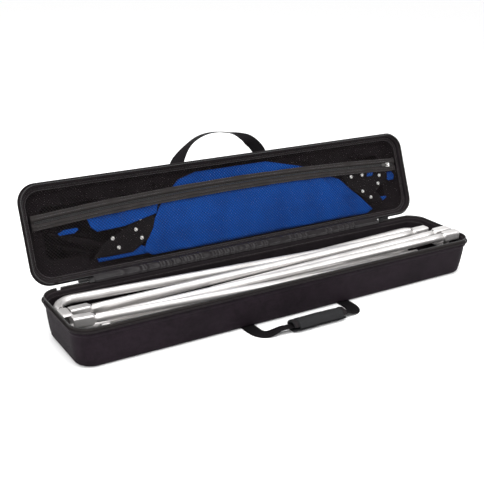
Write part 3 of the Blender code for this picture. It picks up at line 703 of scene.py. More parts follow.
def make_half(prefix, body, depth, fillet, face_z, direction, turn, seed):
    """One half of the case: its covered shell and the cloth that lines it."""
    levels = np.concatenate([shell_levels(depth, fillet), [(0.0096, depth)], inner_levels(depth, fillet, 0.0)])
    grid = ring_surface(place_levels(levels, face_z, direction))
    height = np.array([h for _, h in levels])[None, :]
    x, y = grid[..., 0], grid[..., 1]
    swell = smooth_step((height - 0.004) / 0.02) * smooth_step((depth - 0.012 - height) / 0.02)
    swell = swell * (np.arange(len(levels)) < len(shell_levels(depth, fillet)))
    bulge = (0.0005 * ripple(x, y + grid[..., 2], seed, 0.35)) * swell
    grid[..., :2] += NORMALS[:, None] * bulge[..., None]
    flip = direction > 0
    shell = surface(prefix + "_shell_cover", turn(grid), "shell", closed_n=True, flip=flip)
    cap = len(grid)
    close_ring(shell, np.arange(cap) * len(levels), not flip)
    close_ring(shell, np.arange(cap) * len(levels) + len(levels) - 1, flip)
    outward(shell)
    settle(shell, body, prefix + "_shell")
    inner = inner_levels(depth, fillet, 0.0014)
    grid = ring_surface(place_levels(inner, face_z, direction))
    slack = 0.0007 * ripple(grid[..., 0], grid[..., 1] + 2 * grid[..., 2], seed + 1, 0.09)
    slack = slack * smooth_step((depth - 0.004 - np.array([h for _, h in inner])) / 0.02)[None]
    grid[..., :2] -= NORMALS[:, None] * (slack + 0.0004)[..., None]
    lining = surface(prefix + "_lining_cloth", turn(grid), "lining", closed_n=True, flip=flip)
    close_ring(lining, np.arange(len(grid)) * len(inner) + len(inner) - 1, flip)
    backing = lining.modifiers.new("thickness", "SOLIDIFY")
    backing.thickness = 0.0008
    settle(lining, body, prefix + "_lining")


def outward(obj):
    """Points all faces of a piece outwards."""
    work = bmesh.new()
    work.from_mesh(obj.data)
    bmesh.ops.recalc_face_normals(work, faces=work.faces)
    work.to_mesh(obj.data)
    work.free()


def close_ring(obj, ring, flip):
    """Adds one flat face over a ring of points."""
    work = bmesh.new()
    work.from_mesh(obj.data)
    work.verts.ensure_lookup_table()
    corners = [work.verts[int(i)] for i in (ring[::-1] if flip else ring)]
    face = work.faces.new(corners)
    face.smooth = True
    layer = work.loops.layers.uv.active
    for loop in face.loops:
        loop[layer].uv = (loop.vert.co.x, loop.vert.co.y)
    work.to_mesh(obj.data)
    work.free()


def same(points):
    return points


def make_rim(prefix, body, rim_z, direction, turn):
    """Piping, the binding that wraps the rim, the zip's tape and coil, and their stitching."""
    centre_z = rim_z - direction * 0.0017
    ring = level_ring(0.0025, centre_z)
    pipe = sweep(ring, circle(0.0022, 12), (0, 0, 1), closed=True)
    obj = surface(prefix + "_piping", turn(pipe), "piping", closed_n=True, closed_m=True, flip=True)
    settle(obj, body, prefix + "_rim_piping")
    d = direction
    wrap = [(0.0046, -0.0012), (0.0047, 0.0008), (0.0060, 0.0013), (0.0080, 0.0016), (0.0098, 0.0013),
            (0.0110, 0.0003), (0.0116, -0.0016), (0.0122, -0.0070), (0.0128, -0.0125), (0.0130, -0.0132),
            (0.0122, -0.0134), (0.0112, -0.0100), (0.0104, -0.0030), (0.0080, -0.0004)]
    grid = ring_surface([(i, rim_z + d * h) for i, h in wrap])
    pucker = 0.00025 * np.sin(outline(0.0)[:, 0] * 420.0 + outline(0.0)[:, 1] * 380.0)
    grid[:, 4:9, 2] += pucker[:, None]
    obj = surface(prefix + "_rim_binding", turn(grid), "binding", closed_n=True, closed_m=True, flip=d < 0)
    settle(obj, body)
    seam = level_ring(0.0124, rim_z - d * 0.0090)
    inward = np.concatenate([-NORMALS, np.zeros((len(NORMALS), 1))], 1)
    row = stitches(prefix + "_binding_stitches", turn(seam), turn(seam + inward)[0] - turn(seam)[0], closed=True)
    settle(row, body)
    top = HALF_ZIP - 0.0012
    tape = [(0.0056, 0.0002), (0.00545, 0.0030), (0.0054, 0.0060), (0.0055, top - 0.0026), (0.0062, top - 0.0026),
            (0.0066, 0.0060), (0.0068, 0.0030), (0.0070, 0.0002)]
    grid = np.stack([zip_path(inset, rim_z + d * h) for inset, h in tape], 1)
    obj = surface(prefix + "_zip_tape", turn(grid), "tape", closed_m=True, caps=True, flip=d < 0)
    settle(obj, body, prefix + "_zipper_tape")
    path = zip_path(0.00615, rim_z + d * (top - 0.0013))
    spots, along = even_points(path, 0.0017)
    lift = np.tile([0.0, 0.0, 1.0], (len(spots), 1))
    side = np.cross(along, lift)
    shape, faces = bead()
    places = [turn(spots)]
    for axis, size in ((along, 0.00066), (side, 0.0014), (lift, 0.00128)):
        places.append((turn(spots + axis) - turn(spots)) * size)
    if d < 0:
        places[2] = -places[2]
    obj = copies(prefix + "_zip_coil", shape, faces, places, "coil")
    settle(obj, body, prefix + "_zipper_teeth")


# ---- Hinge ----------------------------------------------------------------------------------
def curled(points, count):
    """A smooth section through a few points, as (y, z) rows."""
    p = np.asarray(points, float)
    return bezier(np.concatenate([np.zeros((len(p), 1)), p], 1), count)[:, 1:]


def fold_line():
    """The fabric hinge's middle line in the open case, from the base's rim to the lid's."""
    base = [(HALF_WIDTH - 0.0062, RIM_Z + 0.0004), (HALF_WIDTH - 0.0058, RIM_Z + 0.0040),
            (HALF_WIDTH - 0.0030, RIM_Z + 0.0080), (HINGE[1], HINGE[2])]
    lid = [(y, 2 * HINGE[2] - z) for y, z in base[:-1]][::-1]
    swung = opened(np.array([(0.0, y, z) for y, z in lid]))[:, 1:]
    return np.concatenate([base, swung])


def make_hinge():
    """The fabric hinge with its corded fold, a gathered strip that hides it inside, and the tabs
    that close off the zip."""
    line = curled(fold_line(), 25)
    x = np.linspace(-HINGE_HALF - 0.005, HINGE_HALF + 0.005, 241)
    normal = np.stack([-np.gradient(line[:, 1]), np.gradient(line[:, 0])], -1)
    normal = normal / np.linalg.norm(normal, axis=1)[:, None]
    loop = np.concatenate([line + normal * 0.0006, (line - normal * 0.0006)[::-1]])
    grid = along_x(x, loop)
    grid[..., 1] += 0.0003 * np.sin(x * 130.0)[:, None]
    strip = surface("hinge_fabric", grid, "binding", closed_m=True, caps=True)
    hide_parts("hinge_leaf_base", "hinge_leaf_lid")
    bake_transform(strip)
    path = np.stack([x, np.full_like(x, HINGE[1]), np.full_like(x, HINGE[2])], -1)
    round_cord = sweep(path, circle(0.0011, 10), (0, 0, 1))
    cord = surface("hinge_cord", round_cord, "binding", closed_m=True, caps=True, flip=True)
    settle(cord, "base", "hinge_welt")
    low = np.array([HALF_WIDTH - 0.0112, RIM_Z + 0.0014])
    high = opened(np.array([0.0, HALF_WIDTH - 0.0112, LID_RIM_Z - 0.0014]))[1:]
    t = np.linspace(0, 1, 17)
    out = np.array([-(high - low)[1], (high - low)[0]])
    out = out / np.linalg.norm(out)
    xs = np.linspace(-HINGE_HALF - 0.004, HINGE_HALF + 0.004, 1100)
    rng = np.random.default_rng(5)
    spots = np.sort(rng.uniform(-HINGE_HALF, HINGE_HALF, 46))
    near = np.abs(xs[:, None] - spots[None]).min(1)
    tight = np.exp(-((near / 0.012) ** 2))
    drift = np.cumsum(0.35 + 0.65 * tight)
    pucker = np.sin(drift * 0.62)[:, None] * (0.3 + 0.7 * tight)[:, None]
    slant = np.sin(drift[:, None] * 0.31 + t[None] * 2.2)
    bow = np.sin(np.pi * t)[None]
    inside = smooth_step((0.405 - np.abs(xs)) / 0.03)[:, None]
    lift = 0.0050 * bow**0.6 + inside * bow**0.5 * (0.0007 * pucker + 0.0006 * slant)
    grid = np.zeros((len(xs), len(t), 3))
    grid[..., 0] = xs[:, None] + 0.0012 * bow * np.sin(drift * 0.4)[:, None]
    grid[..., 1:] = low + (high - low) * t[None, :, None] + out * lift[..., None]
    strip = surface("hinge_gathered_strip", grid, "gloss", flip=True)
    solid = strip.modifiers.new("thickness", "SOLIDIFY")
    solid.thickness = 0.0004
    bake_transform(strip)
    for side, sign in (("left", -1), ("right", 1)):
        a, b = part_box("zipper_end_" + side)
        tx = np.linspace(a.x - 0.004 + 0.001 * sign, b.x + 0.004 + 0.001 * sign, 13)
        half = (b.y - a.y) / 2 + 0.0002
        sec = circle(1.0, 16, 5.0) * np.array([half, (b.z - a.z) / 2])
        path = np.stack([tx, np.full(13, (a.y + b.y) / 2), np.full(13, (a.z + b.z) / 2)], -1)
        block = sweep(path, sec, (0, 0, 1))
        tab = surface("zip_end_tab_" + side, block, "binding", closed_m=True, caps=True, flip=True)
        settle(tab, "base", "zipper_end_" + side)


# ---- Lid pocket -----------------------------------------------------------------------------
NET_INSET = 0.021
BAND_ENDS = 0.583
POCKET_RADIUS = (0.575**2 + 0.020**2) / (2 * 0.020)


def pocket_height(x):
    """Height of the pocket's bowed zip over the lid's hinge edge, along a shallow arc."""
    return 0.178 - POCKET_RADIUS + np.sqrt(POCKET_RADIUS**2 - x**2)


def lid_point(x, v, depth):
    """A point of the open lid from x, its height over the hinge edge, and its distance behind the
    lid's rim plane."""
    x, v, depth = np.broadcast_arrays(x, v, depth)
    return opened(np.stack([x, HALF_WIDTH - v, LID_RIM_Z + depth], -1))


def corner_height(x):
    """Top of the net over the hinge edge at x, with its rounded corners."""
    radius = PLAN_RADIUS - 0.45 * NET_INSET
    past = np.clip(np.abs(x) - (HALF_LENGTH - NET_INSET - radius), 0, radius * 0.9999)
    return 2 * HALF_WIDTH - NET_INSET - radius + np.sqrt(radius**2 - past**2)


def make_net(name, node, upper):
    """A panel of the net, from the zip's band to its bound edge, pushed out a little by what is
    in the pocket."""
    s = np.linspace(-1, 1, 181)
    x = (HALF_LENGTH - NET_INSET + 0.001) * np.sin(s * np.pi / 2 * 0.999) / np.sin(np.pi / 2 * 0.999)
    t = np.linspace(0, 1, 61)[None]
    band = pocket_height(np.clip(x, -BAND_ENDS, BAND_ENDS))[:, None]
    top = corner_height(x)[:, None]
    if upper:
        low, high = band + 0.0175, top
    else:
        low, high = 2 * HALF_WIDTH - top, band - 0.0175
    v = low + (high - low) * t
    xx = np.broadcast_to(x[:, None], v.shape)
    edge = np.sin(np.pi * t) ** 0.7 * np.clip((HALF_LENGTH - NET_INSET - np.abs(xx)) / 0.05, 0, 1) ** 0.5
    swell = edge * (0.0018 + 0.0022 * np.exp(-((xx - 0.1) / 0.35) ** 2) + 0.0006 * ripple(xx, v, 3, 0.16))
    points = lid_point(xx, v, 0.0114 - swell)
    net = surface(name, points, "net", flip=upper, spread=np.stack([xx, v], -1))
    if not upper:
        net.data.flip_normals()
    settle(net, "lid", node)
    width = float((high - low).max())


def make_pocket():
    """The bound edge of the net, its two panels, and the bowed zip with its folded tapes."""
    levels = [(0.0122, 0.0110), (0.0130, 0.0100), (0.0150, 0.0094), (0.0175, 0.0094), (0.0198, 0.0100),
              (0.0207, 0.0110), (0.0206, 0.0124), (0.0165, 0.0128), (0.0124, 0.0124)]
    grid = ring_surface([(i, LID_RIM_Z + d) for i, d in levels])
    ring = surface("net_binding", opened(grid), "binding", closed_n=True, closed_m=True)
    settle(ring, "lid", "mesh_binding")
    for inset, name in ((0.0142, "outer"), (0.0193, "inner")):
        line = level_ring(inset, LID_RIM_Z + 0.0093)
        row = stitches("net_binding_stitches_" + name, opened(line), turned([0, 0, -1.0]), closed=True)
        settle(row, "lid")
    make_net("pocket_net_upper", "mesh_panel_upper", True)
    make_net("pocket_net_lower", "mesh_panel_lower", False)
    x = np.linspace(-BAND_ENDS, BAND_ENDS, 301)
    across = np.array([0.0190, 0.0186, 0.0170, 0.0150, 0.0128, 0.0118, 0.0112, 0.0095, 0.0075, 0.0058,
                       0.0050, 0.0042, 0.0002])
    raised = np.array([0.0006, 0.0012, 0.0015, 0.0014, 0.0013, 0.0016, 0.0026, 0.0030, 0.0029, 0.0024,
                       0.0010, -0.0004, -0.0005])
    for side, sign in (("upper", 1), ("lower", -1)):
        a = np.concatenate([across, across[::-1]])
        d = np.concatenate([0.0112 - raised, np.full(len(across), 0.0122)])
        wobble = 0.0004 * np.sin(x * 31.0 + sign)[:, None] + 0.0003 * np.sin(x * 83.0)[:, None]
        v = pocket_height(x)[:, None] + sign * (a[None] + wobble * (a[None] > 0.010))
        points = lid_point(x[:, None], v, d[None] - 0.5 * wobble * (d[None] < 0.0110))
        band = surface("pocket_band_" + side, points, "tape", closed_m=True, caps=True, flip=sign > 0)
        settle(band, "lid", "pocket_tape_" + side)
        for offset in (0.0178, 0.0104):
            lift = 0.0112 - float(np.interp(offset, across[::-1], raised[::-1]))
            seam = lid_point(x[3:-3], pocket_height(x[3:-3]) + sign * offset, lift)
            name = f"pocket_band_stitches_{side}_{int(offset * 1e4)}"
            row = stitches(name, seam, turned([0, 0, -1.0]))
            settle(row, "lid")
        xz = np.linspace(-0.575, 0.575, 400)
        line = lid_point(xz, pocket_height(xz) + sign * 0.0018, 0.0112)
        spots, along = even_points(line, 0.0018)
        out = unit(np.broadcast_to(turned([0, 0, -1.0]), spots.shape))
        side_way = np.cross(along, out)
        shape, faces = bead()
        places = (spots, along * 0.0007, side_way * 0.0015, out * 0.0012)
        coil = copies("pocket_coil_" + side, shape, faces, places, "coil")
        settle(coil, "lid", "pocket_teeth_" + side)


# ---- Cloth in the pocket --------------------------------------------------------------------
def rounded(t):
    """A quarter circle that rises from 0 to 1 as t goes from 0 to 1."""
    t = np.clip(t, 0, 1)
    return np.sqrt(t * (2 - t))


def cloth_fold(name, left, right, front, back, seed, finish="blue", rows=90, wave=0.0016, lean=0.0, creases=()):
    """A folded layer of cloth as high as its right edge: for each height v its front goes from
    the left edge to the right edge, and its back returns. Edges roll round, and creases are
    valleys along given lines, each with its two ends, width and depth."""
    left, right = np.asarray(left, float), np.asarray(right, float)
    low, high = right[0, 1], right[-1, 1]
    v = np.linspace(low, high, rows)[:, None]
    xl = np.interp(v[:, 0], left[:, 1], left[:, 0])[:, None]
    xr = np.interp(v[:, 0], right[:, 1], right[:, 0])[:, None]
    half = 90
    s = (1 - np.cos(np.linspace(0, np.pi, half)))[None] / 2
    x_front = xl + (xr - xl) * s
    vv = np.broadcast_to(v, x_front.shape) + lean * x_front
    end = np.minimum(v - low, high - v) / 0.010
    side = np.minimum(x_front - xl, xr - x_front) / 0.012
    roll = rounded(end) * rounded(side)
    rough = ripple(x_front, vv, seed, 0.10) * wave + ripple(x_front, vv, seed + 1, 0.04) * wave * 0.35
    for x0, v0, x1, v1, width, depth in creases:
        dx, dv = x1 - x0, v1 - v0
        length = math.hypot(dx, dv)
        along = ((x_front - x0) * dx + (vv - v0) * dv) / length
        off = ((x_front - x0) * dv - (vv - v0) * dx) / length + 0.004 * np.sin(along * 55.0)
        fade = smooth_step(along / 0.02) * smooth_step((length - along) / 0.03)
        valley = np.exp(-((off / width) ** 2))
        ridge = 0.7 * np.exp(-(((off - 1.6 * width) / (1.3 * width)) ** 2))
        rough = rough + depth * fade * (valley - ridge)
    middle = (front + back) / 2
    depth_front = middle - (middle - front) * roll + rough * roll
    depth_front = np.maximum(depth_front, 0.0130)
    depth_back = np.broadcast_to(back - (back - middle) * (1 - roll), x_front.shape)
    back_points = lid_point(x_front, vv, depth_back)[:, ::-1][:, 1:-1]
    grid = np.concatenate([lid_point(x_front, vv, depth_front), back_points], 1)
    flat = np.stack([x_front, vv], -1)
    spread = np.concatenate([flat, flat[:, ::-1][:, 1:-1]], 1)
    piece = surface(name, grid, finish, closed_m=True, caps=True, flip=True, spread=spread)
    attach(piece, "lid")
    return piece


def make_cloth():
    """The folded cloth: a top layer, the layer under it that shows at the right, a flap and loose
    corners at the left and right, and the webbing tabs with their snaps."""
    left = [(-0.275, 0.026), (-0.300, 0.040), (-0.283, 0.070), (-0.262, 0.095), (-0.252, 0.120), (-0.232, 0.150),
            (-0.200, 0.182), (-0.165, 0.212), (-0.110, 0.226)]
    right = [(0.412, 0.026), (0.404, 0.035), (0.372, 0.075), (0.345, 0.105), (0.312, 0.150), (0.290, 0.170),
             (0.262, 0.186), (0.225, 0.200), (0.120, 0.226)]
    creases = [(-0.165, 0.030, -0.115, 0.130, 0.004, 0.0022), (-0.235, 0.032, -0.215, 0.120, 0.003, 0.0024),
               (-0.205, 0.030, -0.180, 0.085, 0.003, 0.0016), (-0.02, 0.040, -0.045, 0.120, 0.012, 0.0016),
               (0.080, 0.060, 0.140, 0.130, 0.014, -0.0018), (0.180, 0.050, 0.150, 0.150, 0.010, 0.0014),
               (0.250, 0.040, 0.280, 0.110, 0.010, 0.0016), (0.010, 0.120, 0.080, 0.160, 0.010, -0.0012)]
    layers = [
        ("cloth_top_layer", left, right, 0.0150, 0.0215, 31, {"rows": 140, "creases": creases}),
        ("cloth_under_layer", [(-0.180, 0.024), (-0.160, 0.120), (-0.140, 0.205)],
         [(0.455, 0.024), (0.478, 0.034), (0.452, 0.062), (0.405, 0.108), (0.372, 0.140), (0.330, 0.158),
          (0.270, 0.190), (0.180, 0.212)], 0.0212, 0.0266, 47,
         {"rows": 110, "creases": [(0.470, 0.045, 0.360, 0.145, 0.004, 0.0016)]}),
        ("cloth_left_flap", [(-0.418, 0.126), (-0.432, 0.140), (-0.440, 0.168)],
         [(-0.340, 0.126), (-0.245, 0.142), (-0.236, 0.168)], 0.0142, 0.0172, 53,
         {"rows": 50, "wave": 0.0011, "lean": 0.035, "creases": [(-0.425, 0.125, -0.418, 0.150, 0.0025, 0.0016)]}),
        ("cloth_lower_corner", [(-0.425, 0.034), (-0.432, 0.050), (-0.405, 0.068)],
         [(-0.270, 0.034), (-0.290, 0.050), (-0.318, 0.068)], 0.0212, 0.0245, 61, {"rows": 40, "wave": 0.0013}),
        ("cloth_bit_left", [(-0.515, 0.118), (-0.518, 0.124), (-0.500, 0.131)],
         [(-0.475, 0.118), (-0.462, 0.126), (-0.466, 0.131)], 0.0212, 0.0240, 71, {"rows": 24, "wave": 0.0006}),
        ("cloth_bit_right", [(0.556, 0.112), (0.545, 0.126), (0.538, 0.138)],
         [(0.578, 0.112), (0.583, 0.126), (0.575, 0.138)], 0.0212, 0.0240, 73, {"rows": 30, "wave": 0.0008}),
        ("cloth_bit_low_right", [(0.486, 0.052), (0.482, 0.058), (0.490, 0.066)],
         [(0.520, 0.052), (0.540, 0.062), (0.534, 0.066)], 0.0212, 0.0240, 79, {"rows": 24, "wave": 0.0006}),
        ("cloth_bit_band", [(0.470, 0.134), (0.474, 0.142), (0.480, 0.148)],
         [(0.492, 0.134), (0.498, 0.142), (0.496, 0.148)], 0.0150, 0.0172, 83, {"rows": 20, "wave": 0.0005}),
    ]
    pieces = [cloth_fold(*layer[:6], **layer[6]) for layer in layers]
    for piece in pieces:
        declare_cloth(piece)
    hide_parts("fabric_panel")
    tabs = [("cloth_tab_left", [(-0.440, 0.044), (-0.405, 0.080), (-0.330, 0.112), (-0.315, 0.136)],
             [(-0.330, 0.044), (-0.262, 0.080), (-0.245, 0.112), (-0.262, 0.136)], 91),
            ("cloth_tab_right", [(0.480, 0.052), (0.410, 0.100), (0.392, 0.120), (0.380, 0.150)],
             [(0.520, 0.052), (0.500, 0.088), (0.552, 0.120), (0.556, 0.150)], 97)]
    for name, left, right, seed in tabs:
        tab = cloth_fold(name, left, right, 0.0180, 0.0205, seed, finish="webbing", rows=60, wave=0.0007)
        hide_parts("fabric_" + name[6:])
        declare_cloth(tab)
    spots = [(-0.294, 0.127), (-0.311, 0.100), (-0.299, 0.076), (-0.379, 0.088), (-0.367, 0.062), (0.412, 0.141),
             (0.455, 0.141), (0.521, 0.132), (0.511, 0.108), (0.447, 0.092), (0.474, 0.070)]
    make_snaps(np.array(spots))


def declare_cloth(piece):
    """Reads the points of a layer of cloth."""
    points = np.empty(len(piece.data.vertices) * 3, np.float32)
    piece.data.vertices.foreach_get("co", points)


def make_snaps(spots):
    """Press studs: a domed cap with a rolled edge and a small dimple in its middle."""
    profile = np.array([(0.0007, 0.0000), (0.0012, 0.0008), (0.0024, 0.0016), (0.0036, 0.0012), (0.0041, 0.0006),
                        (0.0046, 0.0011), (0.0050, 0.0003), (0.0048, -0.0010)])
    a = np.linspace(0, 2 * np.pi, 24, endpoint=False)
    r, h = profile.T
    ring = np.stack([r[:, None] * np.cos(a), r[:, None] * np.sin(a), np.broadcast_to(h[:, None], (len(r), 24))], -1)
    n = len(r)
    quads, _, _ = grid_faces(n, 24, False, True)
    shape = ring.reshape(-1, 3)
    quads = quads.reshape(-1, 4)
    centre = [(k, k + 1, 23 - k, 24 - k) for k in range(1, 11)]
    origin = lid_point(spots[:, 0], spots[:, 1], 0.0172)
    x_way = np.tile([1.0, 0.0, 0.0], (len(spots), 1))
    up_way = np.tile(turned([0, -1.0, 0]), (len(spots), 1))
    out_way = np.tile(turned([0, 0, -1.0]), (len(spots), 1))
    faces = [tuple(q) for q in quads[:, ::-1]] + [tuple(c) for c in centre]
    snaps = copies("cloth_snaps", shape, faces, (origin, x_way, up_way, out_way), "nickel")
    outward(snaps)
    settle(snaps, "lid")


# ---- Handles --------------------------------------------------------------------------------
STRAP_THICKNESS = 0.0022
GRIP_CORE = np.array([0.0150, 0.0095])
GRIP_HEIGHT = 0.0144


def strap(name, path, across, widths, finish="webbing", thickness=STRAP_THICKNESS):
    """Webbing: a flat section with rounded edges, turned at each station to the given direction
    across it."""
    t = tangents(path)
    across = unit(across - t * (across * t).sum(-1, keepdims=True))
    normal = np.cross(t, across)
    flat = circle(1.0, 24, 6.0)
    a = flat[:, 0] * widths[:, None] / 2
    b = flat[:, 1] * (thickness / 2) * np.ones((len(path), 1))
    grid = path[:, None] + a[..., None] * across[:, None] + b[..., None] * normal[:, None]
    u = lengths(path, False)
    spread = np.stack([np.broadcast_to(u[:, None], a.shape), a + 0.5], -1)
    piece = surface(name, grid, finish, closed_m=True, caps=True, spread=spread)
    outward(piece)
    return piece, across, normal


def box_stitches(name, body, centre, along, across, out, length, width):
    """A sewn box with its two diagonals."""
    l, w = length / 2, width / 2
    corners = [(-l, -w), (l, -w), (l, w), (-l, w), (-l, -w), (l, w), (l, -w), (-l, w)]
    pts = np.array([centre + along * a + across * b for a, b in corners])
    shape, faces = bead()
    spots, ways = [], []
    for p, q in zip(pts[:-1], pts[1:]):
        s, d = even_points(np.array([p, q]), 0.0034)
        spots.append(s)
        ways.append(d)
    spots, ways = np.concatenate(spots), np.concatenate(ways)
    side = np.cross(np.broadcast_to(out, spots.shape), ways)
    places = (spots, ways * 0.0012, side * 0.0004, np.broadcast_to(out, spots.shape) * 0.0004)
    obj = copies(name, shape, faces, places, "thread")
    settle(obj, body)


LID_HANDLE_X, LID_ANCHOR_X = -0.014, 0.140
BASE_HANDLE_X, BASE_ANCHOR_X = 0.000, 0.150


def lid_handle_path():
    """The lid handle's middle line in the closed case: up from its sewn ends over the lid's
    rounded edge, and round its arch."""
    wrap = LID_FILLET + 0.0003 + STRAP_THICKNESS / 2
    edge_y, centre_z = -HALF_WIDTH + 0.016 + LID_FILLET, LID_RIM_Z + LID_DEPTH - LID_FILLET
    a = np.radians(np.linspace(90, 125, 9))
    bend = np.stack([edge_y + wrap * np.cos(a), centre_z + wrap * np.sin(a)], -1)
    tail = np.stack([np.linspace(edge_y + 0.050, edge_y, 12)[:-1], np.full(11, centre_z + wrap)], -1)
    side = np.concatenate([tail, bend])
    start = side[-1]
    t = np.linspace(0, 1, 91)
    c, rise = np.cos(np.pi * t), np.sin(np.pi * t).clip(0)
    x = LID_HANDLE_X - LID_ANCHOR_X * c
    y = start[0] - 0.0058 - 0.0905 * rise ** (1.30 + 0.34 * c)
    arch = np.stack([x, y, np.full_like(x, start[1])], -1)
    left = np.concatenate([np.full((len(side), 1), LID_HANDLE_X - LID_ANCHOR_X), side], 1)
    right = np.concatenate([np.full((len(side), 1), LID_HANDLE_X + LID_ANCHOR_X), side], 1)[::-1]
    return np.concatenate([left, arch, right]), len(side), start, t


def make_lid_handle():
    """One length of webbing: flat where it is sewn, and turned on edge at the top of its arch."""
    path, tail, start, t = lid_handle_path()
    count = len(t)
    way = tangents(path)
    normal = np.array([0.0, 0.0, 1.0])
    flat = unit(np.cross(way, normal))
    flat[:tail] = flat[-tail:] = [1.0, 0.0, 0.0]
    edge = np.minimum(t, 1 - t)
    turn = np.zeros(len(path))
    rising = smooth_step(t / 0.33) * smooth_step((0.82 - t) / 0.24) * np.radians(80)
    over = smooth_step((t - 0.72) / 0.12) * smooth_step((1 - t) / 0.05) * np.radians(36)
    turn[tail:tail + count] = rising - over
    across = flat * np.cos(turn)[:, None] + normal * np.sin(turn)[:, None]
    across[:tail] = flat[:tail] * np.sign(across[tail + 1, 0])
    across[-tail:] = flat[-tail:] * np.sign(across[-tail - 2, 0])
    wide = bpy.context.scene.carry_case_sizes.webbing_width
    widths = np.full(len(path), wide)
    widths[tail:tail + count] = wide * (1 - 0.20 * smooth_step(edge / 0.3))
    piece, _, _ = strap("lid_handle_webbing", opened(path), turned(across), widths)
    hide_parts("lid_handle_strap", "lid_handle_tail_left", "lid_handle_tail_right")
    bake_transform(piece)
    out = turned([0, 0, 1.0])
    along = turned([0, 1.0, 0])
    for side, x in (("left", LID_HANDLE_X - LID_ANCHOR_X), ("right", LID_HANDLE_X + LID_ANCHOR_X)):
        centre = opened([x, path[0][1] - 0.024, LID_RIM_Z + LID_DEPTH + 0.0003 + STRAP_THICKNESS + 0.0002])
        box_stitches("lid_handle_stitches_" + side, "lid", centre, along, np.array([1.0, 0, 0]), out,
                     0.040, 0.028)


def base_handle_path():
    """The base handle's middle line on the floor: out from under the case, round its corners and
    through the grip."""
    t = np.linspace(0, 1, 111)
    c, rise = np.cos(np.pi * t), np.sin(np.pi * t).clip(0)
    x = BASE_HANDLE_X - BASE_ANCHOR_X * np.sign(c) * np.abs(c) ** 0.5
    inward = smooth_step((BASE_ANCHOR_X - 0.012 - np.abs(x - BASE_HANDLE_X)) / 0.045)
    y = -0.1129 - 0.004 - 0.064 * rise**0.5
    z = STRAP_THICKNESS / 2 + (GRIP_HEIGHT - STRAP_THICKNESS / 2) * inward
    arch = np.stack([x, y, z], -1)
    wide = bpy.context.scene.carry_case_sizes.webbing_width
    widths = wide + (GRIP_STRAP_WIDTH - wide) * inward
    s = np.linspace(-0.037, -0.1145, 16)
    left = np.stack([np.full(16, BASE_HANDLE_X - BASE_ANCHOR_X), s, np.full(16, 0.0011)], -1)
    right = np.stack([np.full(16, BASE_HANDLE_X + BASE_ANCHOR_X), s, np.full(16, 0.0011)], -1)[::-1]
    sewn = np.full(16, wide)
    return np.concatenate([left, arch, right]), np.concatenate([sewn, widths, sewn])


def around_core(angles, gap):
    """Points round the grip's oval core at the angles, standing off it by gap."""
    gap = np.asarray(gap, float)[..., None]
    return (GRIP_CORE + gap) * np.stack([np.cos(angles), np.sin(angles)], -1)


def make_base_handle():
    """The base handle's webbing, its padded grip with bound ends, and the grip's flap."""
    path, widths = base_handle_path()
    way = tangents(path)
    across = unit(np.cross(way, [0.0, 0.0, 1.0]))
    piece, _, _ = strap("base_handle_webbing", path, across, widths)
    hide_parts("base_handle_strap", "base_handle_tail_left", "base_handle_tail_right")
    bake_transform(piece)
    low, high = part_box("grip_wrap")
    centre_y, centre_z = (low.y + high.y) / 2, GRIP_HEIGHT
    middle = np.linspace(low.x + 0.0020, high.x - 0.0020, 60)
    x = np.concatenate([[low.x, low.x + 0.0004], middle, [high.x - 0.0004, high.x]])
    end = np.minimum(x - low.x, high.x - x)
    puff = 0.0004 + 0.0009 * smooth_step((end - 0.010) / 0.012) - 0.0006 * np.exp(-(((end - 0.0115) / 0.0016) ** 2))
    puff = puff - 0.0012 * np.exp(-((end / 0.0012) ** 2))
    a = np.radians(np.linspace(-150, 170, 73))
    soft = 0.00035 * ripple(x[:, None] + 0 * a[None], 0.02 * a[None] + 0 * x[:, None], 8, 0.05)
    outer_r = around_core(a, 0.0045 + puff[:, None] + soft)
    outer_r[..., 1] = np.maximum(outer_r[..., 1], 0.0003 - centre_z)
    inner_r = around_core(a, 0.0)[::-1]
    loop = np.concatenate([outer_r, np.broadcast_to(inner_r, (len(x), *inner_r.shape))], 1)
    wrap = surface("grip_pad", along_x(x, loop + [centre_y, centre_z]), "grip", closed_m=True, caps=True)
    outward(wrap)
    settle(wrap, "base_handle", "grip_wrap")
    for side, sx in (("left", low.x + 0.0056), ("right", high.x - 0.0056)):
        xs = np.linspace(sx - 0.0050, sx + 0.0050, 9)
        rise = 0.0007 * np.sin(np.pi * np.linspace(0.08, 0.92, 9))
        arc_a = np.radians(np.linspace(-148, 168, 61))
        ring = around_core(arc_a, 0.0047 + rise[:, None])
        under = around_core(arc_a, 0.0040)[::-1]
        loop = np.concatenate([ring, np.broadcast_to(under, (9, *under.shape))], 1)
        loop[..., 1] = np.maximum(loop[..., 1], 0.0002 - centre_z)
        grid = along_x(xs, loop + [centre_y, centre_z])
        tape = surface("grip_end_tape_" + side, grid, "piping", closed_m=True, caps=True)
        outward(tape)
        settle(tape, "base_handle")
    arc_a = np.radians(np.linspace(78, 187, 41))
    xs = np.linspace(low.x + 0.0125, high.x - 0.0125, 50)
    lip = np.minimum(1, np.minimum(np.arange(41), 40 - np.arange(41)) / 3.0)
    out = 0.0049 + 0.0017 * np.sqrt(lip)
    loop = np.concatenate([around_core(arc_a, out), around_core(arc_a, 0.0048)[::-1]])
    grid = along_x(xs, loop + [centre_y, centre_z])
    grid[..., 1:] += 0.0002 * ripple(xs[:, None], loop[None, :, 0], 12, 0.05)[..., None]
    flap = surface("grip_flap_cover", grid, "grip", closed_m=True, caps=True)
    outward(flap)
    settle(flap, "grip_flap", "grip_flap")


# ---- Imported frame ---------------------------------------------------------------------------
TUBE_RADIUS, BEND_RADIUS = 0.0111, 0.048
SOCKET_HALF, SOCKET_LENGTH = 0.0130, 0.056


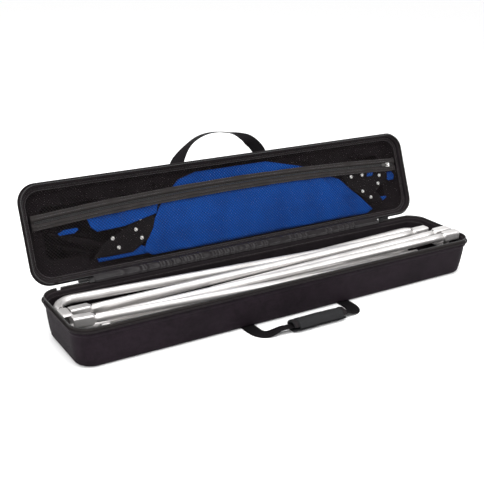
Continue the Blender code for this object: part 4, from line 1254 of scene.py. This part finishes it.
def make_tube(name, path):
    """A pipe: its outside along the path and its bore back again, with slightly rounded mouths."""
    path = np.asarray(path, float)
    outer = sweep(path, circle(TUBE_RADIUS, 32), (0, 0, 1))
    bore = TUBE_RADIUS - bpy.context.scene.carry_case_sizes.tube_wall
    inner = sweep(path, circle(bore, 32), (0, 0, 1))
    way = tangents(path)
    lip = sweep(path[[0, -1]] - way[[0, -1]] * [[0.0003], [-0.0003]], circle(TUBE_RADIUS - 0.0004, 32), (0, 0, 1))
    lip[0] = inner[0] + (outer[0] - inner[0]) * 0.55 - way[0] * 0.0003
    lip[1] = inner[-1] + (outer[-1] - inner[-1]) * 0.55 + way[-1] * 0.0003
    grid = np.concatenate([outer, lip[1:], inner[::-1], lip[:1]])
    tube = surface(name + "_tube", grid, "tube", closed_n=True, closed_m=True)
    outward(tube)
    settle(tube, "packed_frame", name)


def make_socket(name, neck, way):
    """A square socket formed on a tube's end: the round neck swells to a square with rounded
    corners, and its bore shows at the mouth. A spring button's hole lies in the neck."""
    way = unit(np.asarray(way, float))
    up = unit(np.array([0.0, 0.0, 1.0]) - way * way[2])
    across = np.cross(way, up)
    spigot = (TUBE_RADIUS - bpy.context.scene.carry_case_sizes.tube_wall) * 0.96 - 0.0004
    rings = [(-0.006, spigot, 2.0), (0.0002, spigot, 2.0), (0.0003, TUBE_RADIUS - 0.0002, 2.0),
             (0.0010, TUBE_RADIUS, 2.0)]
    for k in np.linspace(0.05, 1, 12):
        blend = float(smooth_step(k))
        rings.append((0.0010 + 0.0105 * k, TUBE_RADIUS + (SOCKET_HALF - TUBE_RADIUS) * blend, 2.0 + 7.0 * blend**2))
    mouth = ((0.020, 0.0), (SOCKET_LENGTH * 0.7, 0.0), (SOCKET_LENGTH - 0.0006, 0.0), (SOCKET_LENGTH, 0.0005),
             (SOCKET_LENGTH, 0.0016), (SOCKET_LENGTH - 0.0006, 0.0021), (0.0145, 0.0021))
    rings += [(distance, SOCKET_HALF - inset, 9.0) for distance, inset in mouth]
    grid = []
    for distance, half, square in rings:
        section = circle(half, 40, square)
        grid.append(neck + way * distance + section[:, :1] * across + section[:, 1:] * up)
    socket = surface(name + "_formed", np.array(grid), "tube", closed_m=True, caps=True)
    outward(socket)
    settle(socket, "packed_frame", name)
    a = np.linspace(0, 2 * np.pi, 24, endpoint=False)
    rows = []
    dish = ((0.0052, 0.0), (0.0050, 0.00045), (0.0040, 0.0005), (0.0034, 0.0001), (0.0020, -0.0002), (0.0004, -0.0003))
    for r, h in dish:
        d, s = 0.0045 + r * np.cos(a), r * np.sin(a)
        height = np.sqrt(np.clip((TUBE_RADIUS + 0.0002) ** 2 - s**2, 0, None)) + h
        rows.append(neck + d[:, None] * way + s[:, None] * across + height[:, None] * up)
    dimple = surface(name + "_button_hole", np.array(rows), "bore", closed_m=True, caps=True)
    outward(dimple)
    settle(dimple, "packed_frame")


def straight(a, b, count=24):
    t = np.linspace(0, 1, count)[:, None]
    return np.asarray(a, float) * (1 - t) + np.asarray(b, float) * t


def bow(start, corner, end_y, sign):
    """A straight leg, a quarter bend at the corner, and a short leg towards the front."""
    start, corner = np.asarray(start, float), np.asarray(corner, float)
    a = np.linspace(0, np.pi / 2, 24)[1:]
    turn = np.stack([corner[0] + sign * BEND_RADIUS * np.sin(a), corner[1] - BEND_RADIUS * (1 - np.cos(a)),
                     np.full(len(a), corner[2])], -1)
    leg = straight(turn[-1], (turn[-1][0], end_y, corner[2]), 6)[1:]
    return np.concatenate([straight(start, corner), turn, leg])


def make_frame():
    """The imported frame: two bows, four socketed rails, and plain rails underneath."""
    left = bow((0.430, 0.0506, 0.072), (-0.535, 0.089, 0.085), 0.033, -1)
    make_tube("bow_left", left)
    make_socket("bow_left_socket_front", left[-1], (0, -1, 0))
    make_socket("bow_left_socket_end", left[0], left[0] - left[1])
    right = bow((-0.500, 0.0690, 0.0500), (0.532, 0.098, 0.0665), 0.010, 1)
    make_tube("bow_right", right)
    make_socket("bow_right_socket_front", right[-1], (0, -1, 0))
    rails = (("rail_inner", (-0.508, 0.0246, 0.0800), (0.497, 0.0166, 0.0940), "both"),
             ("rail_front", (-0.526, -0.0412, 0.0870), (0.200, -0.0773, 0.0700), "left"),
             ("rail_near", (-0.480, -0.0103, 0.0700), (0.536, -0.0671, 0.1030), "right"),
             ("rail_far", (-0.190, 0.0058, 0.0640), (0.536, -0.0290, 0.1000), "right"))
    for name, a, b, ends in rails:
        make_tube(name, straight(a, b))
        way = unit(np.subtract(b, a))
        if ends in ("left", "both"):
            make_socket(name + "_socket_left", np.array(a), -way)
        if ends in ("right", "both"):
            make_socket(name + "_socket_right", np.array(b), way)
    for name in ("rail_bottom_1", "rail_bottom_2", "rail_bottom_3", "rail_bottom_4", "rail_middle_1", "rail_middle_2"):
        low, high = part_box(name)
        y, z = (low.y + high.y) / 2, (low.z + high.z) / 2
        make_tube(name, straight((low.x, y, z), (high.x, y, z)))


# ---- Settings -------------------------------------------------------------------------------
class CaseStage(bpy.types.PropertyGroup):
    focal_length: bpy.props.FloatProperty(name="Focal length", description="Lens of the camera, in millimetres",
                                          default=62.81, min=20.0)
    sky: bpy.props.FloatProperty(name="Ambient light", description="Strength of the white surroundings",
                                 default=1.0, min=0.0)
    key: bpy.props.FloatProperty(name="Main light", description="Power of the main softbox, in watts",
                                 default=70.0, min=0.0)


def colour_property(name, description, default):
    return bpy.props.FloatVectorProperty(name=name, description=description, default=default, subtype="COLOR",
                                         size=3, min=0.0, max=1.0)


class CaseColours(bpy.types.PropertyGroup):
    cloth_dark: colour_property("Cloth, dark", "Darker tone of the folded cloth", (0.0010, 0.032, 0.175))
    cloth_light: colour_property("Cloth, light", "Lighter tone of the folded cloth", (0.0028, 0.060, 0.300))
    shell_dark: colour_property("Shell, dark", "Darker tone of the shells' cover", (0.0056, 0.0034, 0.0052))
    shell_light: colour_property("Shell, light", "Lighter tone of the shells' cover", (0.0185, 0.0118, 0.0172))
    # The tubes' two tones make the streaks along them, which are partly painted reflection.
    tube_dark: colour_property("Tubes, dark", "Darker tone of the tubes", (0.44, 0.425, 0.415))
    tube_light: colour_property("Tubes, light", "Lighter tone of the tubes", (0.70, 0.68, 0.67))


class CaseSizes(bpy.types.PropertyGroup):
    webbing_width: bpy.props.FloatProperty(name="Webbing width", description="Width of both handles' webbing",
                                           default=0.038, min=0.01, subtype="DISTANCE", unit="LENGTH")
    tube_wall: bpy.props.FloatProperty(name="Tube wall", description="Wall thickness of the packed tubes",
                                       default=0.0015, min=0.0005, subtype="DISTANCE", unit="LENGTH")


class CARRYCASE_OT_stage(bpy.types.Operator):
    """Makes the floor, the camera and the studio lights"""

    bl_idname = "carrycase.stage"
    bl_label = "Stage"

    def execute(self, context):
        settings = context.scene.carry_case_stage
        floor = build_mesh("floor", np.array([(-9, -9, 0), (9, -9, 0), (9, 9, 0), (-9, 9, 0)], float) - [0, 0, 0.0003],
                           [(0, 1, 2, 3)], None, "floor", smooth=False)
        camera = bpy.data.cameras.new("camera")
        camera.lens = settings.focal_length
        camera.sensor_width = 36.0
        holder = bpy.data.objects.new("camera", camera)
        context.scene.collection.objects.link(holder)
        yaw, pitch, roll = CAMERA_YAW, CAMERA_PITCH, CAMERA_ROLL
        ahead = Vector((math.sin(yaw) * math.cos(pitch), math.cos(yaw) * math.cos(pitch), -math.sin(pitch)))
        right = Vector((math.cos(yaw), -math.sin(yaw), 0.0))
        up = right.cross(ahead)
        side = right * math.cos(roll) + up * math.sin(roll)
        top = up * math.cos(roll) - right * math.sin(roll)
        holder.matrix_world = Matrix((
            (side.x, top.x, -ahead.x, CAMERA_SPOT[0]),
            (side.y, top.y, -ahead.y, CAMERA_SPOT[1]),
            (side.z, top.z, -ahead.z, CAMERA_SPOT[2]),
            (0, 0, 0, 1)))
        context.scene.camera = holder
        world = bpy.data.worlds.new("surroundings")
        context.scene.world = world
        world.use_nodes = True
        back = world.node_tree.nodes["Background"]
        back.inputs["Color"].default_value = (1.0, 1.0, 1.0, 1.0)
        back.inputs["Strength"].default_value = settings.sky
        self.softbox(context, "softbox_over", (-0.3, -0.2, 2.4), (0.0, 0.0, 0.1), (2.6, 1.6), settings.key)
        self.softbox(context, "softbox_left", (-2.4, -1.4, 1.5), (0.0, 0.0, 0.2), (1.4, 1.4), settings.key * 0.45)
        self.softbox(context, "softbox_right", (2.2, -1.8, 1.6), (0.1, 0.0, 0.1), (1.4, 1.4), settings.key * 0.35)
        context.scene.view_settings.view_transform = "Standard"
        return {"FINISHED"}

    def softbox(self, context, name, spot, aim, size, power):
        light = bpy.data.lights.new(name, "AREA")
        light.shape = "RECTANGLE"
        light.size, light.size_y = size
        light.energy = power
        obj = bpy.data.objects.new(name, light)
        obj.location = spot
        obj.rotation_euler = (Vector(aim) - Vector(spot)).to_track_quat("-Z", "Y").to_euler()
        context.scene.collection.objects.link(obj)


def floor_paint():
    paint = Paint("floor_paper", (0.985, 0.985, 0.985), 0.75, Specular_IOR_Level=0.2)
    paint.rough(0.7 + paint.noise(3.0) * 0.1)
    return paint.material


class CARRYCASE_OT_halves(bpy.types.Operator):
    """Makes the covered shells and linings of the base and the lid"""

    bl_idname = "carrycase.halves"
    bl_label = "Shells and linings"

    def execute(self, context):
        make_half("base", "base", RIM_Z, BASE_FILLET, 0.0, 1, same, 11)
        make_half("lid", "lid", LID_DEPTH, LID_FILLET, LID_RIM_Z + LID_DEPTH, -1, opened, 23)
        return {"FINISHED"}


class CARRYCASE_OT_rims(bpy.types.Operator):
    """Makes the piping, bindings and zip of both rims"""

    bl_idname = "carrycase.rims"
    bl_label = "Rims and main zip"

    def execute(self, context):
        make_rim("base", "base", RIM_Z, 1, same)
        make_rim("lid", "lid", LID_RIM_Z, -1, opened)
        return {"FINISHED"}


class CARRYCASE_OT_hinge(bpy.types.Operator):
    """Makes the fabric hinge and the gathered strip inside it"""

    bl_idname = "carrycase.hinge"
    bl_label = "Fabric hinge"

    def execute(self, context):
        make_hinge()
        return {"FINISHED"}


class CARRYCASE_OT_pocket(bpy.types.Operator):
    """Makes the lid pocket's net, binding and zip"""

    bl_idname = "carrycase.pocket"
    bl_label = "Lid pocket"

    def execute(self, context):
        make_pocket()
        return {"FINISHED"}


class CARRYCASE_OT_cloth(bpy.types.Operator):
    """Makes the folded cloth in the pocket, its tabs and its snaps"""

    bl_idname = "carrycase.cloth"
    bl_label = "Folded cloth"

    def execute(self, context):
        make_cloth()
        return {"FINISHED"}


class CARRYCASE_OT_handles(bpy.types.Operator):
    """Makes the webbing handles of the lid and the base, and the padded grip"""

    bl_idname = "carrycase.handles"
    bl_label = "Handles"

    def execute(self, context):
        make_lid_handle()
        make_base_handle()
        return {"FINISHED"}


class CARRYCASE_OT_tubes(bpy.types.Operator):
    """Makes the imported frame's tubes and sockets"""

    bl_idname = "carrycase.tubes"
    bl_label = "Packed frame"

    def execute(self, context):
        make_frame()
        return {"FINISHED"}


class CARRYCASE_OT_finishes(bpy.types.Operator):
    """Gives the CAD nodes that are kept their finishes"""

    bl_idname = "carrycase.finishes"
    bl_label = "Finishes of kept parts"

    def execute(self, context):
        finishes = {"aluminium": "tube", "slider_metal": "enamel", "pocket_slider_metal": "nickel",
                    "webbing": "webbing", "grip_fabric": "grip", "blue_fabric": "blue", "pocket_mesh": "net",
                    "zipper_tape": "tape", "zipper_teeth": "coil", "binding_fabric": "binding",
                    "shell_fabric": "shell", "lining_fabric": "lining"}
        for part in frame["record"]["subparts"]:
            obj = frame["nodes"][part["node"]]
            if not obj.hide_render:
                obj.data.materials.clear()
                dark = part["node"] == "pocket_pull"
                obj.data.materials.append(finish_of("bore" if dark else finishes[part["material_slot"]]))
        return {"FINISHED"}


GROUPS = {"carry_case_stage": CaseStage, "carry_case_colours": CaseColours, "carry_case_sizes": CaseSizes}
STEPS = [CARRYCASE_OT_stage, CARRYCASE_OT_halves, CARRYCASE_OT_rims, CARRYCASE_OT_hinge, CARRYCASE_OT_pocket,
         CARRYCASE_OT_cloth, CARRYCASE_OT_handles, CARRYCASE_OT_tubes, CARRYCASE_OT_finishes]


class CARRYCASE_PT_panel(bpy.types.Panel):
    """Lists the settings, and the steps that build the case"""

    bl_label = "Carry Case"
    bl_space_type = "VIEW_3D"
    bl_region_type = "UI"
    bl_category = "Carry Case"

    def draw(self, context):
        for name, group in GROUPS.items():
            for setting in group.__annotations__:
                self.layout.prop(getattr(context.scene, name), setting)
        for step in STEPS:
            self.layout.operator(step.bl_idname)


CLASSES = [*GROUPS.values(), *STEPS, CARRYCASE_PT_panel]


def register():
    for each in CLASSES:
        bpy.utils.register_class(each)
    for name, group in GROUPS.items():
        setattr(bpy.types.Scene, name, bpy.props.PointerProperty(type=group))


def unregister():
    for name in GROUPS:
        delattr(bpy.types.Scene, name)
    for each in reversed(CLASSES):
        bpy.utils.unregister_class(each)


def main():
    """Registers the classes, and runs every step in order."""
    register()
    MATERIALS["floor"] = floor_paint()
    for step in STEPS:
        group, name = step.bl_idname.split(".")
        getattr(getattr(bpy.ops, group), name)()


if __name__ == "__main__":
    main()
